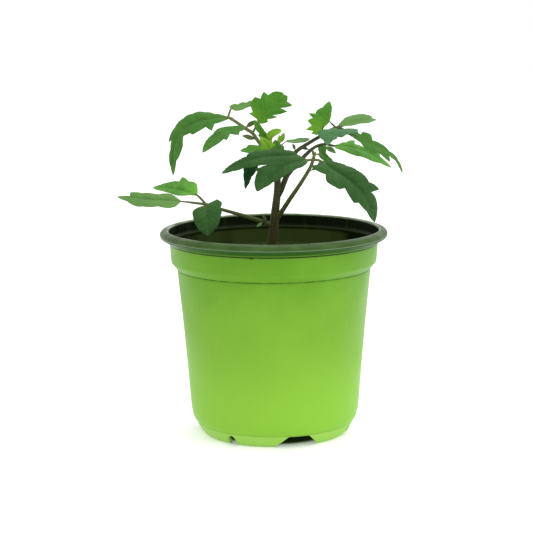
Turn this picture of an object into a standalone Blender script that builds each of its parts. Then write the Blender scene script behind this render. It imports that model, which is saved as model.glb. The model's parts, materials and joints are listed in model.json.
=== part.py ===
"""A young tomato plant in a round nursery pot.

The part is in metres with +Z up and -Y as its front. Its origin is the centre of the pot's foot, on the
surface that the pot stands on. The tables and the shape functions hold millimetres, and MM turns them into
metres where a mesh is made.
"""

from dataclasses import dataclass
from math import cos, pi, radians, sin, tan

import bpy
import numpy as np
from mathutils.geometry import delaunay_2d_cdt

MM = 0.001
GAP = 0.3  # clear space between neighbouring solids
MERGE = 1e-5  # metres, for the pot's closed turn

# Pot: a moulded cup with a rolled rim, a collar, a shoulder and a tapering body on a foot ring
RIM_RADIUS = 70.0
POT_HEIGHT = 127.0
WALL = 1.2
RIM_STEP = ((-7.5, -7.6), (-5.7, -6.6))  # inside, as offsets from RIM_RADIUS and POT_HEIGHT
RIM_CREST = ((-5.6, -1.1), (-4.6, -0.2), (-3.2, 0), (-1.4, -0.3), (-0.3, -1.5), (0, -3.4))
RIM_UNDERSIDE = ((-0.5, -4.7), (-2.6, -5.9), (-4.7, -7.2), (-5.9, -8.1))
COLLAR_TOP = (64.0, 118.2)  # radius, height
COLLAR_FOOT = (63.2, 107.4)
SHOULDER = (62.3, 106.2)
BODY_TOP = (59.7, 103.0)
BODY_FOOT = (51.9, 15.6)
FOOT_NECK = (50.6, 10.5)
FOOT_LEDGE = (48.5, 7.4)
FOOT_CURVE = ((47.3, 4.6), (45.6, 1.7))
FOOT_RADIUS = 43.5
FOOT_INSIDE = ((42.2, 0), (43.6, 3.0), (45.2, 5.8))
BASE_PANEL = (8.6, 9.8)  # underside and upper side of the raised floor
PANEL_RADIUS = 46.0  # the floor's underside
FLOOR_RADIUS = 47.5  # the floor's upper side
WELL_RADIUS = 12.0  # small centre well that stands level with the foot ring
WELL_FLARE = 2.0
POT_SEGMENTS = 48

# Drainage: three wide notches and three small arches, in turn, round the foot
WIDE_NOTCH = (13.3, 28.0, 7.2)  # width at the top and at the foot, height
WIDE_NOTCHES = (-72.8, 47.2, 167.2)  # degrees from +X
SMALL_NOTCH = (5.3, 6.2)  # width and height
SMALL_NOTCHES = (-124.5, -18.5, 107.2)
NOTCH_REACH = 35.0  # radius that each notch starts from
BELOW = 1.0  # how far a cutter passes the face that it opens
DRAIN_SLOT = (12.0, 5.0)  # slot through the raised floor behind each wide notch
DRAIN_SLOT_RADIUS = 42.5

# Soil and stem
SOIL_LEVEL = 98.0
SOIL_WAVE = 0.9
SOIL_RINGS = (9, 17, 26, 35, 43, 50)  # radii that carry the waves of its top
SLACK = 0.1  # a little more than the gap, where a faceted wall comes nearer than its radius says
STEM_SIDES = 10
STEM_STATIONS = 16
STEM_POINTS = ((0, 0, 86), (0, 0, 99), (-0.5, 0, 119), (1, 0, 136.5), (2.5, 1, 150.5), (2.5, 2, 166),
               (2, 1.5, 171.5))
STEM_RADII = (3.2, 3.2, 3.1, 2.8, 2.4, 2.0, 1.6)
CLEARANCE_SIDES = 12

# Leaves
BLADE_THICKNESS = 0.7
STALK_SIDES = 6
STALKLET_RADII = (0.8, 0.5)  # under the blade's base, and where it ends along the midrib
SHORT_STALKLET = 2.0  # a shorter way from the joint to the base has no corner of its own
RIB_SHARE = 0.3  # how far the stalk runs on under a leaflet's blade
RIB_STATIONS = 8
FOLD = 8.0  # degrees that each half of a blade rises from the midrib


@dataclass(frozen=True)
class Leaflet:
    """One blade: its midrib from base to tip by way of via, the way its upper side faces, and its outline.

    left and right hold the margin's corners, the teeth and the notches between them, from base to tip. Each
    is a share of the midrib's length along it and out from it. joint is where the stalk carries the leaflet.
    """

    base: tuple
    tip: tuple
    face: tuple
    left: tuple
    right: tuple
    via: tuple = ()
    joint: tuple = ()


@dataclass(frozen=True)
class Leaf:
    """A compound leaf: its stalk from the stem outwards, the stalk's end radii, and its leaflets."""

    name: str
    stalk: tuple
    radii: tuple
    leaflets: tuple


PLAIN_LEFT = ((0.15, 0.14), (0.38, 0.25), (0.66, 0.2), (0.86, 0.09))
PLAIN_RIGHT = ((0.12, 0.13), (0.42, 0.24), (0.64, 0.2), (0.86, 0.09))


def small_leaflet(base, tip, joint):
    """A little plain leaflet, as grows between the large ones."""
    return Leaflet(base, tip, (0.1, -0.8, 1), left=PLAIN_LEFT, right=PLAIN_RIGHT, joint=joint)


LEAF_A = Leaf(
    "leaf_a",
    ((1, 0, 129), (-2.5, -1.5, 130), (-8.5, -5, 132.5), (-18, -11, 136.5), (-30.5, -20, 141.5),
     (-40.5, -24, 145.5)),
    (1.35, 0.9),
    (
        Leaflet((-55.5, -25, 147.5), (-94, -24, 150.5), (0, -0.45, 1), via=((-74, -26, 148.5),),
                left=((0.08, 0.18), (0.19, 0.24), (0.35, 0.21), (0.47, 0.27), (0.56, 0.25), (0.63, 0.26),
                      (0.82, 0.12)),
                right=((0.08, 0.1), (0.14, 0.15), (0.36, 0.16), (0.63, 0.14), (0.82, 0.15), (0.81, 0.05)),
                joint=(-40.5, -24, 145.5)),
        Leaflet((-46, -20, 150.5), (-74, 2, 152.5), (0.1, -0.7, 1), via=((-59, -9, 152.5),),
                left=((0.11, 0.05), (0.22, 0.13), (0.43, 0.16), (0.72, 0.09)),
                right=((0.17, 0.2), (0.29, 0.26), (0.4, 0.25), (0.56, 0.31), (0.55, 0.19), (0.77, 0.17),
                       (0.89, 0.08)),
                joint=(-40.5, -24, 145.5)),
        Leaflet((-40.5, -26, 145.5), (-39.5, -36, 128), (0, -1, 0.3), via=((-39.5, -33, 137.5),),
                left=((-0.04, 0.09), (-0.12, 0.33), (0.02, 0.46), (0.2, 0.41), (0.32, 0.43), (0.44, 0.39),
                      (0.56, 0.35), (0.68, 0.31), (0.85, 0.17)),
                right=((0.04, 0.09), (0.14, 0.33), (0.23, 0.41), (0.42, 0.41), (0.61, 0.37), (0.85, 0.22)),
                joint=(-40.5, -24, 145.5)),
        small_leaflet((-4, -4, 132), (-7.5, -6.5, 136.5), (-5.5, -3, 131)),
        small_leaflet((-7, -6.5, 131.5), (-10.5, -8, 129), (-8.5, -5, 132.5)),
    ),
)

LEAF_B = Leaf(
    "leaf_b",
    ((2.5, 2, 166), (-2, 3, 172), (-5, 4, 175.5), (-8, 5, 179), (-10, 6.5, 181.5), (-12.5, 8, 185),
     (-16.5, 9.5, 187.5), (-22.5, 12, 191.5), (-27.5, 13, 194.5)),
    (1.4, 0.9),
    (
        Leaflet((-26.5, 13, 194), (-62, 18, 158), (-0.2, -0.8, 1),
                via=((-37, 15, 193.5), (-48, 18, 190.5), (-56.5, 20, 184), (-60.5, 20, 175)),
                left=((0.05, 0.04), (0.15, 0.08), (0.17, 0.17), (0.24, 0.1), (0.41, 0.16), (0.45, 0.11),
                      (0.55, 0.06), (0.67, 0.14), (0.81, 0.1), (0.85, 0.05)),
                right=((0.08, 0.03), (0.16, 0.05), (0.26, 0.09), (0.35, 0.117), (0.37, 0.111), (0.44, 0.127),
                       (0.46, 0.12), (0.54, 0.13), (0.56, 0.122), (0.62, 0.13), (0.68, 0.115), (0.66, 0.08),
                       (0.74, 0.065), (0.83, 0.07), (0.92, 0.04)),
                joint=(-22.5, 12, 191.5)),
        Leaflet((-17, 9, 188), (-43, -4, 174.5), (-0.2, -0.7, 1), via=((-25, 6, 187), (-33.5, 1, 183.5)),
                left=((0.04, 0.05), (0.08, 0.1), (0.13, 0.09), (0.23, 0.23), (0.37, 0.1), (0.55, 0.24),
                      (0.56, 0.16), (0.8, 0.1)),
                right=((-0.03, 0.04), (0.03, 0.09), (0.11, 0.08), (0.21, 0.1), (0.38, 0.15), (0.6, 0.12),
                       (0.83, 0.1)),
                joint=(-14, 9, 186)),
        Leaflet((-25.5, 15, 199.5), (-6.5, 20, 204), (0, -0.45, 1),
                left=((-0.03, 0.12), (0.16, 0.17), (0.25, 0.1), (0.42, 0.16), (0.52, 0.08), (0.68, 0.12),
                      (0.8, 0.05)),
                right=((0.04, 0.22), (0.28, 0.29), (0.52, 0.2), (0.8, 0.14)),
                joint=(-27.5, 13, 194.5)),
        Leaflet((-9, 8, 191), (7, 14, 208), (0, -1, 0.3),
                left=((0.06, 0.09), (0.03, 0.33), (0.12, 0.28), (0.23, 0.45), (0.44, 0.5), (0.51, 0.36),
                      (0.7, 0.42), (0.72, 0.28), (0.91, 0.21), (1.02, 0.05)),
                right=((0.04, 0.07), (0.19, 0.17), (0.23, 0.11), (0.45, 0.27), (0.38, 0.12), (0.72, 0.37),
                       (0.66, 0.16), (0.93, 0.36), (0.91, 0.18), (1.03, 0.1)),
                joint=(-12.5, 8, 185)),
        small_leaflet((-11.2, 6, 181.6), (-19, 3.5, 183.8), (-10.2, 6.6, 181.6)),
        small_leaflet((-16.3, 9.2, 188.7), (-9.5, 8.5, 192.5), (-16.8, 9.6, 187.6)),
    ),
)

LEAF_C = Leaf(
    "leaf_c",
    ((2.5, 1.5, 162), (14, 4, 173.5), (19, 5, 177), (28, 8, 182), (39, 10, 187.5), (47, 15, 183.5),
     (52, 18, 180)),
    (1.4, 0.8),
    (
        Leaflet((30.5, 6, 187.5), (35, 16, 203.5), (0, -1, 0.3),
                left=((-0.27, 0.12), (-0.29, 0.3), (-0.17, 0.26), (-0.21, 0.5), (0, 0.35), (0.12, 0.52),
                      (0.26, 0.37), (0.38, 0.54), (0.44, 0.32), (0.54, 0.32), (0.72, 0.15)),
                right=((0.1, 0.06), (0.25, 0.15), (0.4, 0.16), (0.6, 0.15), (0.89, 0.09)),
                joint=(28, 8, 182)),
        Leaflet((40, 12, 188), (64.5, 24, 191), (0, -0.45, 1), via=((49, 17, 190), (56.5, 21, 191)),
                left=((0.25, 0.16), (0.46, 0.24), (0.64, 0.24), (0.84, 0.19), (0.95, 0.13), (0.9, 0.07)),
                right=((0.17, 0.08), (0.44, 0.15), (0.74, 0.17)),
                joint=(39, 10, 187.5)),
        Leaflet((42, 9, 186.5), (32.5, -16, 179.5), (0, -0.35, 1), via=((37, -4, 185),),
                left=((-0.04, 0.07), (-0.03, 0.24), (0.03, 0.39), (0.22, 0.44), (0.35, 0.51), (0.5, 0.41),
                      (0.53, 0.29), (0.65, 0.23), (0.63, 0.12), (0.71, 0.13), (0.77, 0.07)),
                right=((0.03, 0.11), (0.29, 0.2), (0.49, 0.29), (0.62, 0.33), (0.75, 0.25), (0.83, 0.14)),
                joint=(39, 10, 187.5)),
        Leaflet((48, 15, 183), (81, 26, 157.5), (0.3, -0.8, 0.8),
                via=((54, 18.5, 180.5), (61.5, 22, 176), (70, 25, 171.5), (77, 27, 165.5)),
                left=((0.08, 0.05), (0.17, 0.05), (0.19, 0.1), (0.33, 0.13), (0.37, 0.06), (0.5, 0.07),
                      (0.65, 0.03), (0.83, 0.025), (0.94, 0.02)),
                right=((0.04, 0.04), (0.16, 0.09), (0.23, 0.14), (0.32, 0.17), (0.4, 0.18), (0.47, 0.1),
                       (0.56, 0.14), (0.71, 0.14), (0.66, 0.04), (0.81, 0.025), (0.94, 0.02)),
                joint=(47, 15, 183.5)),
        Leaflet((34.5, 15, 191.5), (30, 27, 198.5), (-0.2, -0.7, 1), left=PLAIN_LEFT, right=PLAIN_RIGHT,
                joint=(39, 10, 187.5)),
        small_leaflet((13.5, 3, 175), (12, 2.5, 179), (14, 4, 173.5)),
    ),
)

LEAF_D = Leaf(
    "leaf_d",
    ((2, 0.5, 146), (4.5, 1.5, 150), (6.5, 3.5, 154.5), (9.5, 7, 160), (19, 16.5, 169), (26, 25, 174),
     (32.5, 30, 175.5), (38, 33, 174)),
    (2.0, 0.7),
    (
        Leaflet((38, 33, 174), (75.5, 50, 158), (0, -0.6, 1), via=((47.5, 39, 172.5), (59, 45, 168)),
                left=((0.1, 0.03), (0.24, 0.08), (0.41, 0.18), (0.39, 0.1), (0.57, 0.09), (0.78, 0.18),
                      (0.8, 0.09)),
                right=((0.01, 0.06), (0.11, 0.12), (0.25, 0.19), (0.38, 0.21), (0.57, 0.18), (0.81, 0.08)),
                joint=(32.5, 30, 175.5)),
        small_leaflet((33, 29, 174), (39.5, 26, 170), (32.5, 30, 175.5)),
        small_leaflet((22, 20, 173.5), (16.5, 17.5, 175), (23, 21.5, 172)),
        Leaflet((30.5, 28, 175), (38, 16, 165), (0.2, -1, 0.3), via=((31, 22, 169.5),),
                left=((0.07, 0.15), (0.46, 0.12), (0.7, 0.09), (0.92, 0.04)),
                right=((0.05, 0.11), (0.31, 0.08), (0.52, 0.14), (0.68, 0.11), (0.87, 0.07)),
                joint=(32.5, 30, 175.5)),
    ),
)

LEAF_E = Leaf(
    "leaf_e",
    ((1.5, 0, 132.5), (3.5, -1.5, 135.5), (5.5, -3.5, 138.5), (9.5, -9, 145.5), (16.5, -18, 157),
     (22.5, -24, 168), (25, -26, 176.5)),
    (1.55, 0.95),
    (
        Leaflet((28, -27, 171.5), (60.5, -30, 134.5), (0.4, -0.8, 0.65),
                via=((36, -31, 166.5), (46, -35, 160), (54.5, -35, 150.5)),
                left=((0.07, 0.05), (0.18, 0.11), (0.28, 0.14), (0.4, 0.16), (0.58, 0.15), (0.71, 0.22),
                      (0.67, 0.1), (0.77, 0.13), (0.91, 0.08)),
                right=((0.02, 0.09), (-0.02, 0.16), (0.06, 0.17), (0.17, 0.13), (0.24, 0.22), (0.4, 0.22),
                       (0.43, 0.15), (0.6, 0.21), (0.65, 0.14), (0.81, 0.08)),
                joint=(24, -25, 172)),
        Leaflet((21, -27, 172), (-10, -44, 155.5), (-0.3, -0.85, 0.5),
                via=((10.5, -34, 171), (1.5, -38, 167)),
                left=((0.15, 0.11), (0.28, 0.13), (0.42, 0.15), (0.62, 0.16), (0.75, 0.1), (0.89, 0.05)),
                right=((0.11, 0.08), (0.27, 0.12), (0.42, 0.13), (0.61, 0.16), (0.69, 0.2), (0.75, 0.24),
                       (0.76, 0.18), (0.85, 0.15), (0.94, 0.09)),
                joint=(24, -25, 172)),
        small_leaflet((23, -23, 165.5), (28, -23, 168), (20.5, -22, 164.5)),
        small_leaflet((24.5, -26, 174), (23.5, -26, 178), (25, -26, 175)),
        small_leaflet((26, -26, 175.5), (29.5, -28, 175), (25, -26, 175)),
    ),
)

LEAF_F = Leaf(
    "leaf_f",
    ((2.5, 1, 156.5), (5, -8, 165.5), (2, -12, 169.5), (-5.5, -15, 170.5), (-12.5, -18, 170)),
    (1.3, 0.8),
    (
        Leaflet((16, -21, 173.5), (-31, -36, 165.5), (0, -0.7, 0.7),
                via=((3, -26, 174.5), (-11.5, -32, 173.5)),
                left=((0.12, 0.08), (0.3, 0.13), (0.55, 0.13), (0.63, 0.12), (0.74, 0.07), (0.88, 0.04)),
                right=((0.07, 0.07), (0.16, 0.08), (0.27, 0.09), (0.41, 0.08), (0.57, 0.09), (0.63, 0.08),
                       (0.65, 0.06), (0.73, 0.06)),
                joint=(5, -8, 165.5)),
        Leaflet((-12.5, -18, 170), (-17, -24, 154.5), (-0.3, -1, 0.1),
                left=((0.04, 0.24), (0.26, 0.23), (0.54, 0.11), (0.88, 0.05)),
                right=((0.1, 0.26), (0.42, 0.2), (0.76, 0.09)),
                joint=(-5.5, -15, 170.5)),
    ),
)

SHOOT_TIP = Leaf(
    "shoot_tip",
    ((2, 1.5, 170.5), (2, 1, 174), (2, 0.5, 177.5), (1.5, 0, 181)),
    (1.4, 0.6),
    (
        Leaflet((-3, 2, 179), (-11.5, 4, 193.5), (-0.5, -1, 0.2), via=((-6.5, 3, 184.5),),
                left=((0.11, 0.05), (0.26, 0.09), (0.44, 0.14), (0.47, 0.07), (0.75, 0.1)),
                right=((0.17, 0.13), (0.33, 0.18), (0.46, 0.16), (0.61, 0.14), (0.81, 0.11)),
                joint=(2, 0.5, 177.5)),
        Leaflet((-2, -1, 180), (5.5, -3, 187.5), (0, -1, 0.3), via=((-2, -2, 184), (0.5, -2.5, 186.5)),
                left=((0.26, 0.09), (0.36, 0.17), (0.52, 0.14), (0.68, 0.13), (0.9, 0.09)),
                right=((0.15, 0.14), (0.39, 0.19), (0.72, 0.17), (0.87, 0.12)),
                joint=(2, 0.5, 177.5)),
        Leaflet((-3.5, -3, 176), (-20, -10, 176), (0, -0.7, 1),
                left=((0.07, 0.1), (0.2, 0.18), (0.48, 0.22), (0.85, 0.12)),
                right=((-0.01, 0.16), (0.28, 0.2), (0.63, 0.24), (0.71, 0.14), (0.81, 0.12)),
                joint=(2, 1, 174.5)),
        Leaflet((8, 4, 180), (23, 14, 180.5), (0, -0.5, 1),
                left=((0.07, 0.05), (0.34, 0.06), (0.8, 0.08)),
                right=((0.04, 0.1), (0.42, 0.25), (0.62, 0.22)),
                joint=(2, 1, 175.5)),
        Leaflet((2.5, -1.5, 172.5), (1.5, -2.5, 182), (0, -1, 0.3),
                left=((0.1, 0.22), (0.26, 0.38), (0.59, 0.37), (0.66, 0.26), (0.82, 0.19)),
                right=((0.08, 0.25), (0.2, 0.44), (0.53, 0.49), (0.6, 0.33), (0.77, 0.2)),
                joint=(2, 1, 174)),
        Leaflet((0, -2, 172.5), (-7.5, -3.5, 184), (0, -1, 0.3),
                left=((0.15, 0.2), (0.36, 0.36), (0.42, 0.25), (0.6, 0.33), (0.66, 0.2), (0.82, 0.16)),
                right=((0.15, 0.21), (0.36, 0.36), (0.46, 0.26), (0.56, 0.32), (0.64, 0.2), (0.82, 0.14)),
                joint=(2, 1, 173)),
        small_leaflet((4, 0, 179), (4, 0, 184.5), (2, 0.5, 177.5)),
        small_leaflet((5, 0.5, 180), (7, 0.5, 186), (2, 0.5, 177.5)),
    ),
)

LEAVES = (LEAF_A, LEAF_B, LEAF_C, LEAF_D, LEAF_E, LEAF_F, SHOOT_TIP)


def clear_scene():
    for obj in list(bpy.data.objects):
        bpy.data.objects.remove(obj)


def make_material(name, colour, roughness):
    material = bpy.data.materials.new(name)
    material.use_nodes = True
    shader = material.node_tree.nodes["Principled BSDF"]
    shader.inputs["Base Color"].default_value = (*colour, 1)
    shader.inputs["Roughness"].default_value = roughness
    return material


def make_object(name, points, faces, material=None):
    """An object whose mesh has these points, in millimetres."""
    mesh = bpy.data.meshes.new(name)
    mesh.from_pydata([tuple(MM * c for c in point) for point in points], [], faces)
    obj = bpy.data.objects.new(name, mesh)
    bpy.context.collection.objects.link(obj)
    if material:
        mesh.materials.append(material)
    return obj


def unit(vectors):
    vectors = np.asarray(vectors, float)
    return vectors / np.linalg.norm(vectors, axis=-1, keepdims=True)


def smooth_curve(points, count):
    """count points, evenly spaced, on the Catmull-Rom curve through these points."""
    given = np.asarray(points, float)
    ends = (2 * given[0] - given[1], 2 * given[-1] - given[-2])
    known = np.vstack([ends[0], given, ends[1]])
    share = np.linspace(0, 1, 20, endpoint=False)[:, None]
    curve = []
    for a, b, c, d in zip(known, known[1:], known[2:], known[3:]):
        curve.append(b + 0.5 * share * (c - a + share * (2 * a - 5 * b + 4 * c - d
                                                         + share * (3 * b - 3 * c + d - a))))
    curve = np.vstack([*curve, given[-1]])
    length = np.r_[0, np.cumsum(np.linalg.norm(np.diff(curve, axis=0), axis=1))]
    at = np.linspace(0, length[-1], count)
    return np.stack([np.interp(at, length, curve[:, axis]) for axis in range(3)], axis=-1)


def carried_frames(curve, first_side):
    """Sides and normals along a curve, with the side carried on without turning about it."""
    tangents = unit(np.gradient(curve, axis=0))
    side = np.asarray(first_side, float)
    sides = []
    for tangent in tangents:
        side = unit(side - side @ tangent * tangent)
        sides.append(side)
    sides = np.array(sides)
    return sides, np.cross(sides, tangents)


def tube(points, radii, sides, stations):
    """A closed tube round the curve through these points, whose radius follows radii from end to end."""
    curve = smooth_curve(points, stations)
    start = curve[1] - curve[0]
    across, up = carried_frames(curve, np.cross(start, (0.3, 1, 0.1)))
    radius = np.interp(np.linspace(0, 1, stations), np.linspace(0, 1, len(radii)), radii)
    rings = []
    for k in range(sides):
        angle = 2 * pi * k / sides
        rings.append(curve + radius[:, None] * (cos(angle) * across + sin(angle) * up))
    ring_points = np.stack(rings, axis=1).reshape(-1, 3)
    faces = [tuple(range(sides)), tuple(reversed(range((stations - 1) * sides, stations * sides)))]
    for i in range(stations - 1):
        for k in range(sides):
            a, b = i * sides + k, i * sides + (k + 1) % sides
            faces += [(a, a + sides, b), (b, a + sides, b + sides)]
    return ring_points, faces


def blade(leaflet):
    """The leaflet's closed sheet, with the same triangles on its upper and its lower face."""
    rib = smooth_curve((leaflet.base, *leaflet.via, leaflet.tip), 41)
    length = np.linalg.norm(np.diff(rib, axis=0), axis=1).sum()
    middle = len(rib) // 2
    side = np.cross(unit(rib[middle + 1] - rib[middle - 1]), leaflet.face)
    onward = carried_frames(rib[middle:], side)
    back = carried_frames(rib[middle::-1], side)
    sides = np.vstack([back[0][:0:-1], onward[0]])
    tangents = unit(np.gradient(rib, axis=0))
    normals = np.cross(sides, tangents)

    def along(values, t):
        share = np.linspace(0, 1, len(rib))
        return np.array([np.interp(t, share, values[:, axis]) for axis in range(3)])

    def place(t, w):
        inside = min(max(t, 0), 1)
        out = w * length
        middle_point = along(rib, inside) + (t - inside) * length * along(tangents, inside)
        rise = abs(out) * tan(radians(FOLD))
        return middle_point + out * along(sides, inside) + rise * along(normals, inside)

    outline = [(0, 0), *leaflet.right, (1, 0), *((t, -w) for t, w in reversed(leaflet.left))]
    stations = [k / RIB_STATIONS for k in range(1, RIB_STATIONS)]
    ends = [0, *range(len(outline), len(outline) + len(stations)), 1 + len(leaflet.right)]
    flat = [*outline, *((t, 0) for t in stations)]
    midrib = list(zip(ends, ends[1:]))
    spots, _, triangles, *_ = delaunay_2d_cdt(flat, midrib, [range(len(outline))], 1, 1e-6)
    upper, lower = [], []
    for t, w in spots:
        lift = 0.5 * BLADE_THICKNESS * along(normals, min(max(t, 0), 1))
        upper.append(place(t, w) + lift)
        lower.append(place(t, w) - lift)
    count = len(spots)
    faces, edges = [], set()
    for a, b, c in triangles:
        (ta, wa), (tb, wb), (tc, wc) = spots[a], spots[b], spots[c]
        if (wb - wa) * (tc - ta) - (wc - wa) * (tb - ta) < 0:
            b, c = c, b
        faces += [(a, b, c), (c + count, b + count, a + count)]
        edges |= {(a, b), (b, c), (c, a)}
    for a, b in edges:
        if (b, a) not in edges:
            faces += [(b, a, a + count), (b, a + count, b + count)]
    return np.array(upper + lower), faces, rib


def union(name, pieces, material):
    """One object made of closed pieces, each given as its points and faces, by one Boolean union."""
    whole = make_object(name, *pieces[0], material)
    helpers = bpy.data.collections.new(name + "_pieces")
    for points, faces in pieces[1:]:
        piece = make_object(name + "_piece", points, faces, material)
        bpy.context.collection.objects.unlink(piece)
        helpers.objects.link(piece)
    join = whole.modifiers.new("join", "BOOLEAN")
    join.operation = "UNION"
    join.operand_type = "COLLECTION"
    join.collection = helpers
    apply_modifiers(whole)
    for piece in list(helpers.objects):
        bpy.data.objects.remove(piece)
    bpy.data.collections.remove(helpers)
    return whole


def apply_modifiers(obj):
    graph = bpy.context.evaluated_depsgraph_get()
    mesh = bpy.data.meshes.new_from_object(obj.evaluated_get(graph))
    obj.modifiers.clear()
    obj.data = mesh


def cut(obj, cutter):
    """Cuts the cutter's shape out of the object, and leaves the cutter out of the part."""
    cutter.hide_render = True
    cutter.display_type = "WIRE"
    difference = obj.modifiers.new(cutter.name, "BOOLEAN")
    difference.operation = "DIFFERENCE"
    difference.object = cutter


def pot_inside():
    """The pot's inner profile, from the middle of its floor up to its rim, as radius and height."""
    floor = BASE_PANEL[1]
    return [
        (0, WALL),
        (WELL_RADIUS - WALL, WALL),
        (WELL_RADIUS + WALL, floor),
        (FLOOR_RADIUS, floor),
        (BODY_FOOT[0] - WALL, BODY_FOOT[1]),
        (BODY_TOP[0] - WALL, BODY_TOP[1]),
        (COLLAR_FOOT[0] - WALL, COLLAR_FOOT[1] + WALL),
        (COLLAR_TOP[0] - WALL, COLLAR_TOP[1] + WALL),
    ]


def pot_outside():
    """The pot's rim and outer profile, from its inner step down to the middle of the underside."""
    rim = [(RIM_RADIUS + r, POT_HEIGHT + z) for r, z in RIM_STEP + RIM_CREST + RIM_UNDERSIDE]
    body = [COLLAR_TOP, COLLAR_FOOT, SHOULDER, BODY_TOP, BODY_FOOT, FOOT_NECK, FOOT_LEDGE, *FOOT_CURVE]
    foot = [(FOOT_RADIUS, 0), *FOOT_INSIDE, (PANEL_RADIUS, BASE_PANEL[0])]
    well = [(WELL_RADIUS + WELL_FLARE, BASE_PANEL[0]), (WELL_RADIUS, 0), (0, 0)]
    return rim + body + foot + well


def make_pot(material):
    profile = pot_inside() + pot_outside()
    edges = [(i, i + 1) for i in range(len(profile) - 1)]
    mesh = bpy.data.meshes.new("pot")
    mesh.from_pydata([(MM * r, 0, MM * z) for r, z in profile], edges, [])
    mesh.materials.append(material)
    pot = bpy.data.objects.new("pot", mesh)
    bpy.context.collection.objects.link(pot)
    turn = pot.modifiers.new("turn", "SCREW")
    turn.steps = turn.render_steps = POT_SEGMENTS
    turn.use_merge_vertices = True
    turn.merge_threshold = MERGE
    turn.use_smooth_shade = False
    for angle in WIDE_NOTCHES:
        cut(pot, wide_notch(angle))
        cut(pot, drain_slot(angle))
    for angle in SMALL_NOTCHES:
        cut(pot, small_notch(angle))


def foot_cutter(name, outline, radii, angle):
    """A prism that runs out between two radii, whose outline is given as sideways and height."""
    inner = [(radii[0], s, z) for s, z in outline]
    outer = [(radii[1], s, z) for s, z in outline]
    count = len(outline)
    faces = [tuple(reversed(range(count))), tuple(range(count, 2 * count))]
    faces += [(k, (k + 1) % count, (k + 1) % count + count, k + count) for k in range(count)]
    cutter = make_object(name, inner + outer, faces)
    cutter.rotation_euler[2] = radians(angle)
    return cutter


def wide_notch(angle):
    top, foot, height = WIDE_NOTCH
    spread = 0.5 * foot + 0.5 * BELOW * (foot - top) / height
    outline = [(-spread, -BELOW), (spread, -BELOW), (0.5 * top, height), (-0.5 * top, height)]
    return foot_cutter("wide_notch", outline, (NOTCH_REACH, RIM_RADIUS), angle)


def small_notch(angle):
    width, height = SMALL_NOTCH
    half = 0.5 * width
    arch = [(half * cos(a), height - half + half * sin(a)) for a in np.linspace(0, pi, 7)]
    outline = [(-half, -BELOW), (half, -BELOW), *arch]
    return foot_cutter("small_notch", outline, (NOTCH_REACH, RIM_RADIUS), angle)


def drain_slot(angle):
    length, width = DRAIN_SLOT
    low, high = BASE_PANEL[0] - BELOW, BASE_PANEL[1] + BELOW
    outline = [(-length / 2, low), (length / 2, low), (length / 2, high), (-length / 2, high)]
    radii = (DRAIN_SLOT_RADIUS - width / 2, DRAIN_SLOT_RADIUS + width / 2)
    return foot_cutter("drain_slot", outline, radii, angle)


def soil_height(radius, angle):
    wave = sin(3 * angle + 0.11 * radius) * cos(0.21 * radius + 1) + 0.6 * sin(5 * angle - 0.17 * radius)
    return SOIL_LEVEL + SOIL_WAVE * wave * min(radius / 20, 1)


def make_soil(material):
    """The soil fills the pot to its level, with a plain hole for the stem in the middle."""
    hole = STEM_RADII[0] + GAP + SLACK
    bottom = STEM_POINTS[0][2] - GAP
    slope = (BODY_TOP[0] - BODY_FOOT[0]) / (BODY_TOP[1] - BODY_FOOT[1])
    edge = BODY_FOOT[0] + slope * (SOIL_LEVEL - BODY_FOOT[1]) - WALL - GAP - 3 * SLACK
    inside = pot_inside()
    lower = [(r - GAP - SLACK, z + GAP) for r, z in reversed(inside[3:5])]
    lower += [(r - GAP - 2 * SLACK, z + GAP) for r, z in reversed(inside[1:3])]
    rings = [(hole, bottom, 0), (hole, SOIL_LEVEL, 0)]
    rings += [(r, None, 1) for r in SOIL_RINGS]
    rings += [(edge, None, 1)] + [(r, z, 0) for r, z in lower]
    points, faces = [(0, 0, bottom)], []
    for radius, height, wavy in rings:
        for k in range(POT_SEGMENTS):
            angle = 2 * pi * k / POT_SEGMENTS
            z = soil_height(radius, angle) if wavy else height
            points.append((radius * cos(angle), radius * sin(angle), z))
    points.append((0, 0, inside[0][1] + GAP))
    for k in range(POT_SEGMENTS):
        n = (k + 1) % POT_SEGMENTS
        faces.append((0, 1 + k, 1 + n))
        for i in range(len(rings) - 1):
            a, b = 1 + i * POT_SEGMENTS + k, 1 + i * POT_SEGMENTS + n
            faces += [(a, a + POT_SEGMENTS, b), (b, a + POT_SEGMENTS, b + POT_SEGMENTS)]
        last = 1 + (len(rings) - 1) * POT_SEGMENTS
        faces.append((last + k, len(points) - 1, last + n))
    make_object("soil", points, faces, material)


def make_stem(material):
    make_object("main_stem", *tube(STEM_POINTS, STEM_RADII, STEM_SIDES, STEM_STATIONS), material)


def make_stem_clearance():
    """The main stem swollen by the gap, which every leaf stalk is cut back to."""
    radii = [radius + GAP + 1.5 * SLACK for radius in STEM_RADII]
    shape = tube(STEM_POINTS, radii, CLEARANCE_SIDES, STEM_STATIONS)
    clearance = make_object("stem_clearance", *shape)
    clearance.hide_render = True
    clearance.display_type = "WIRE"
    return clearance


def make_leaf(leaf, material, clearance):
    """The leaf's stalk, its leaflets and their own stalks as one solid, cut back to the stem's clearance."""
    pieces = [tube(leaf.stalk, leaf.radii, STALK_SIDES, 3 * len(leaf.stalk))]
    for leaflet in leaf.leaflets:
        points, faces, rib = blade(leaflet)
        pieces.append((points, faces))
        reach = rib[int(RIB_SHARE * len(rib))]
        route = [leaflet.joint, leaflet.base, tuple(reach)]
        if np.linalg.norm(np.subtract(leaflet.joint, leaflet.base)) < SHORT_STALKLET:
            route = [leaflet.joint, tuple(reach)]
        pieces.append(tube(route, (leaf.radii[1], *STALKLET_RADII), STALK_SIDES, 6))
    obj = union(leaf.name, pieces, material)
    cut(obj, clearance)
    apply_modifiers(obj)


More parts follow.
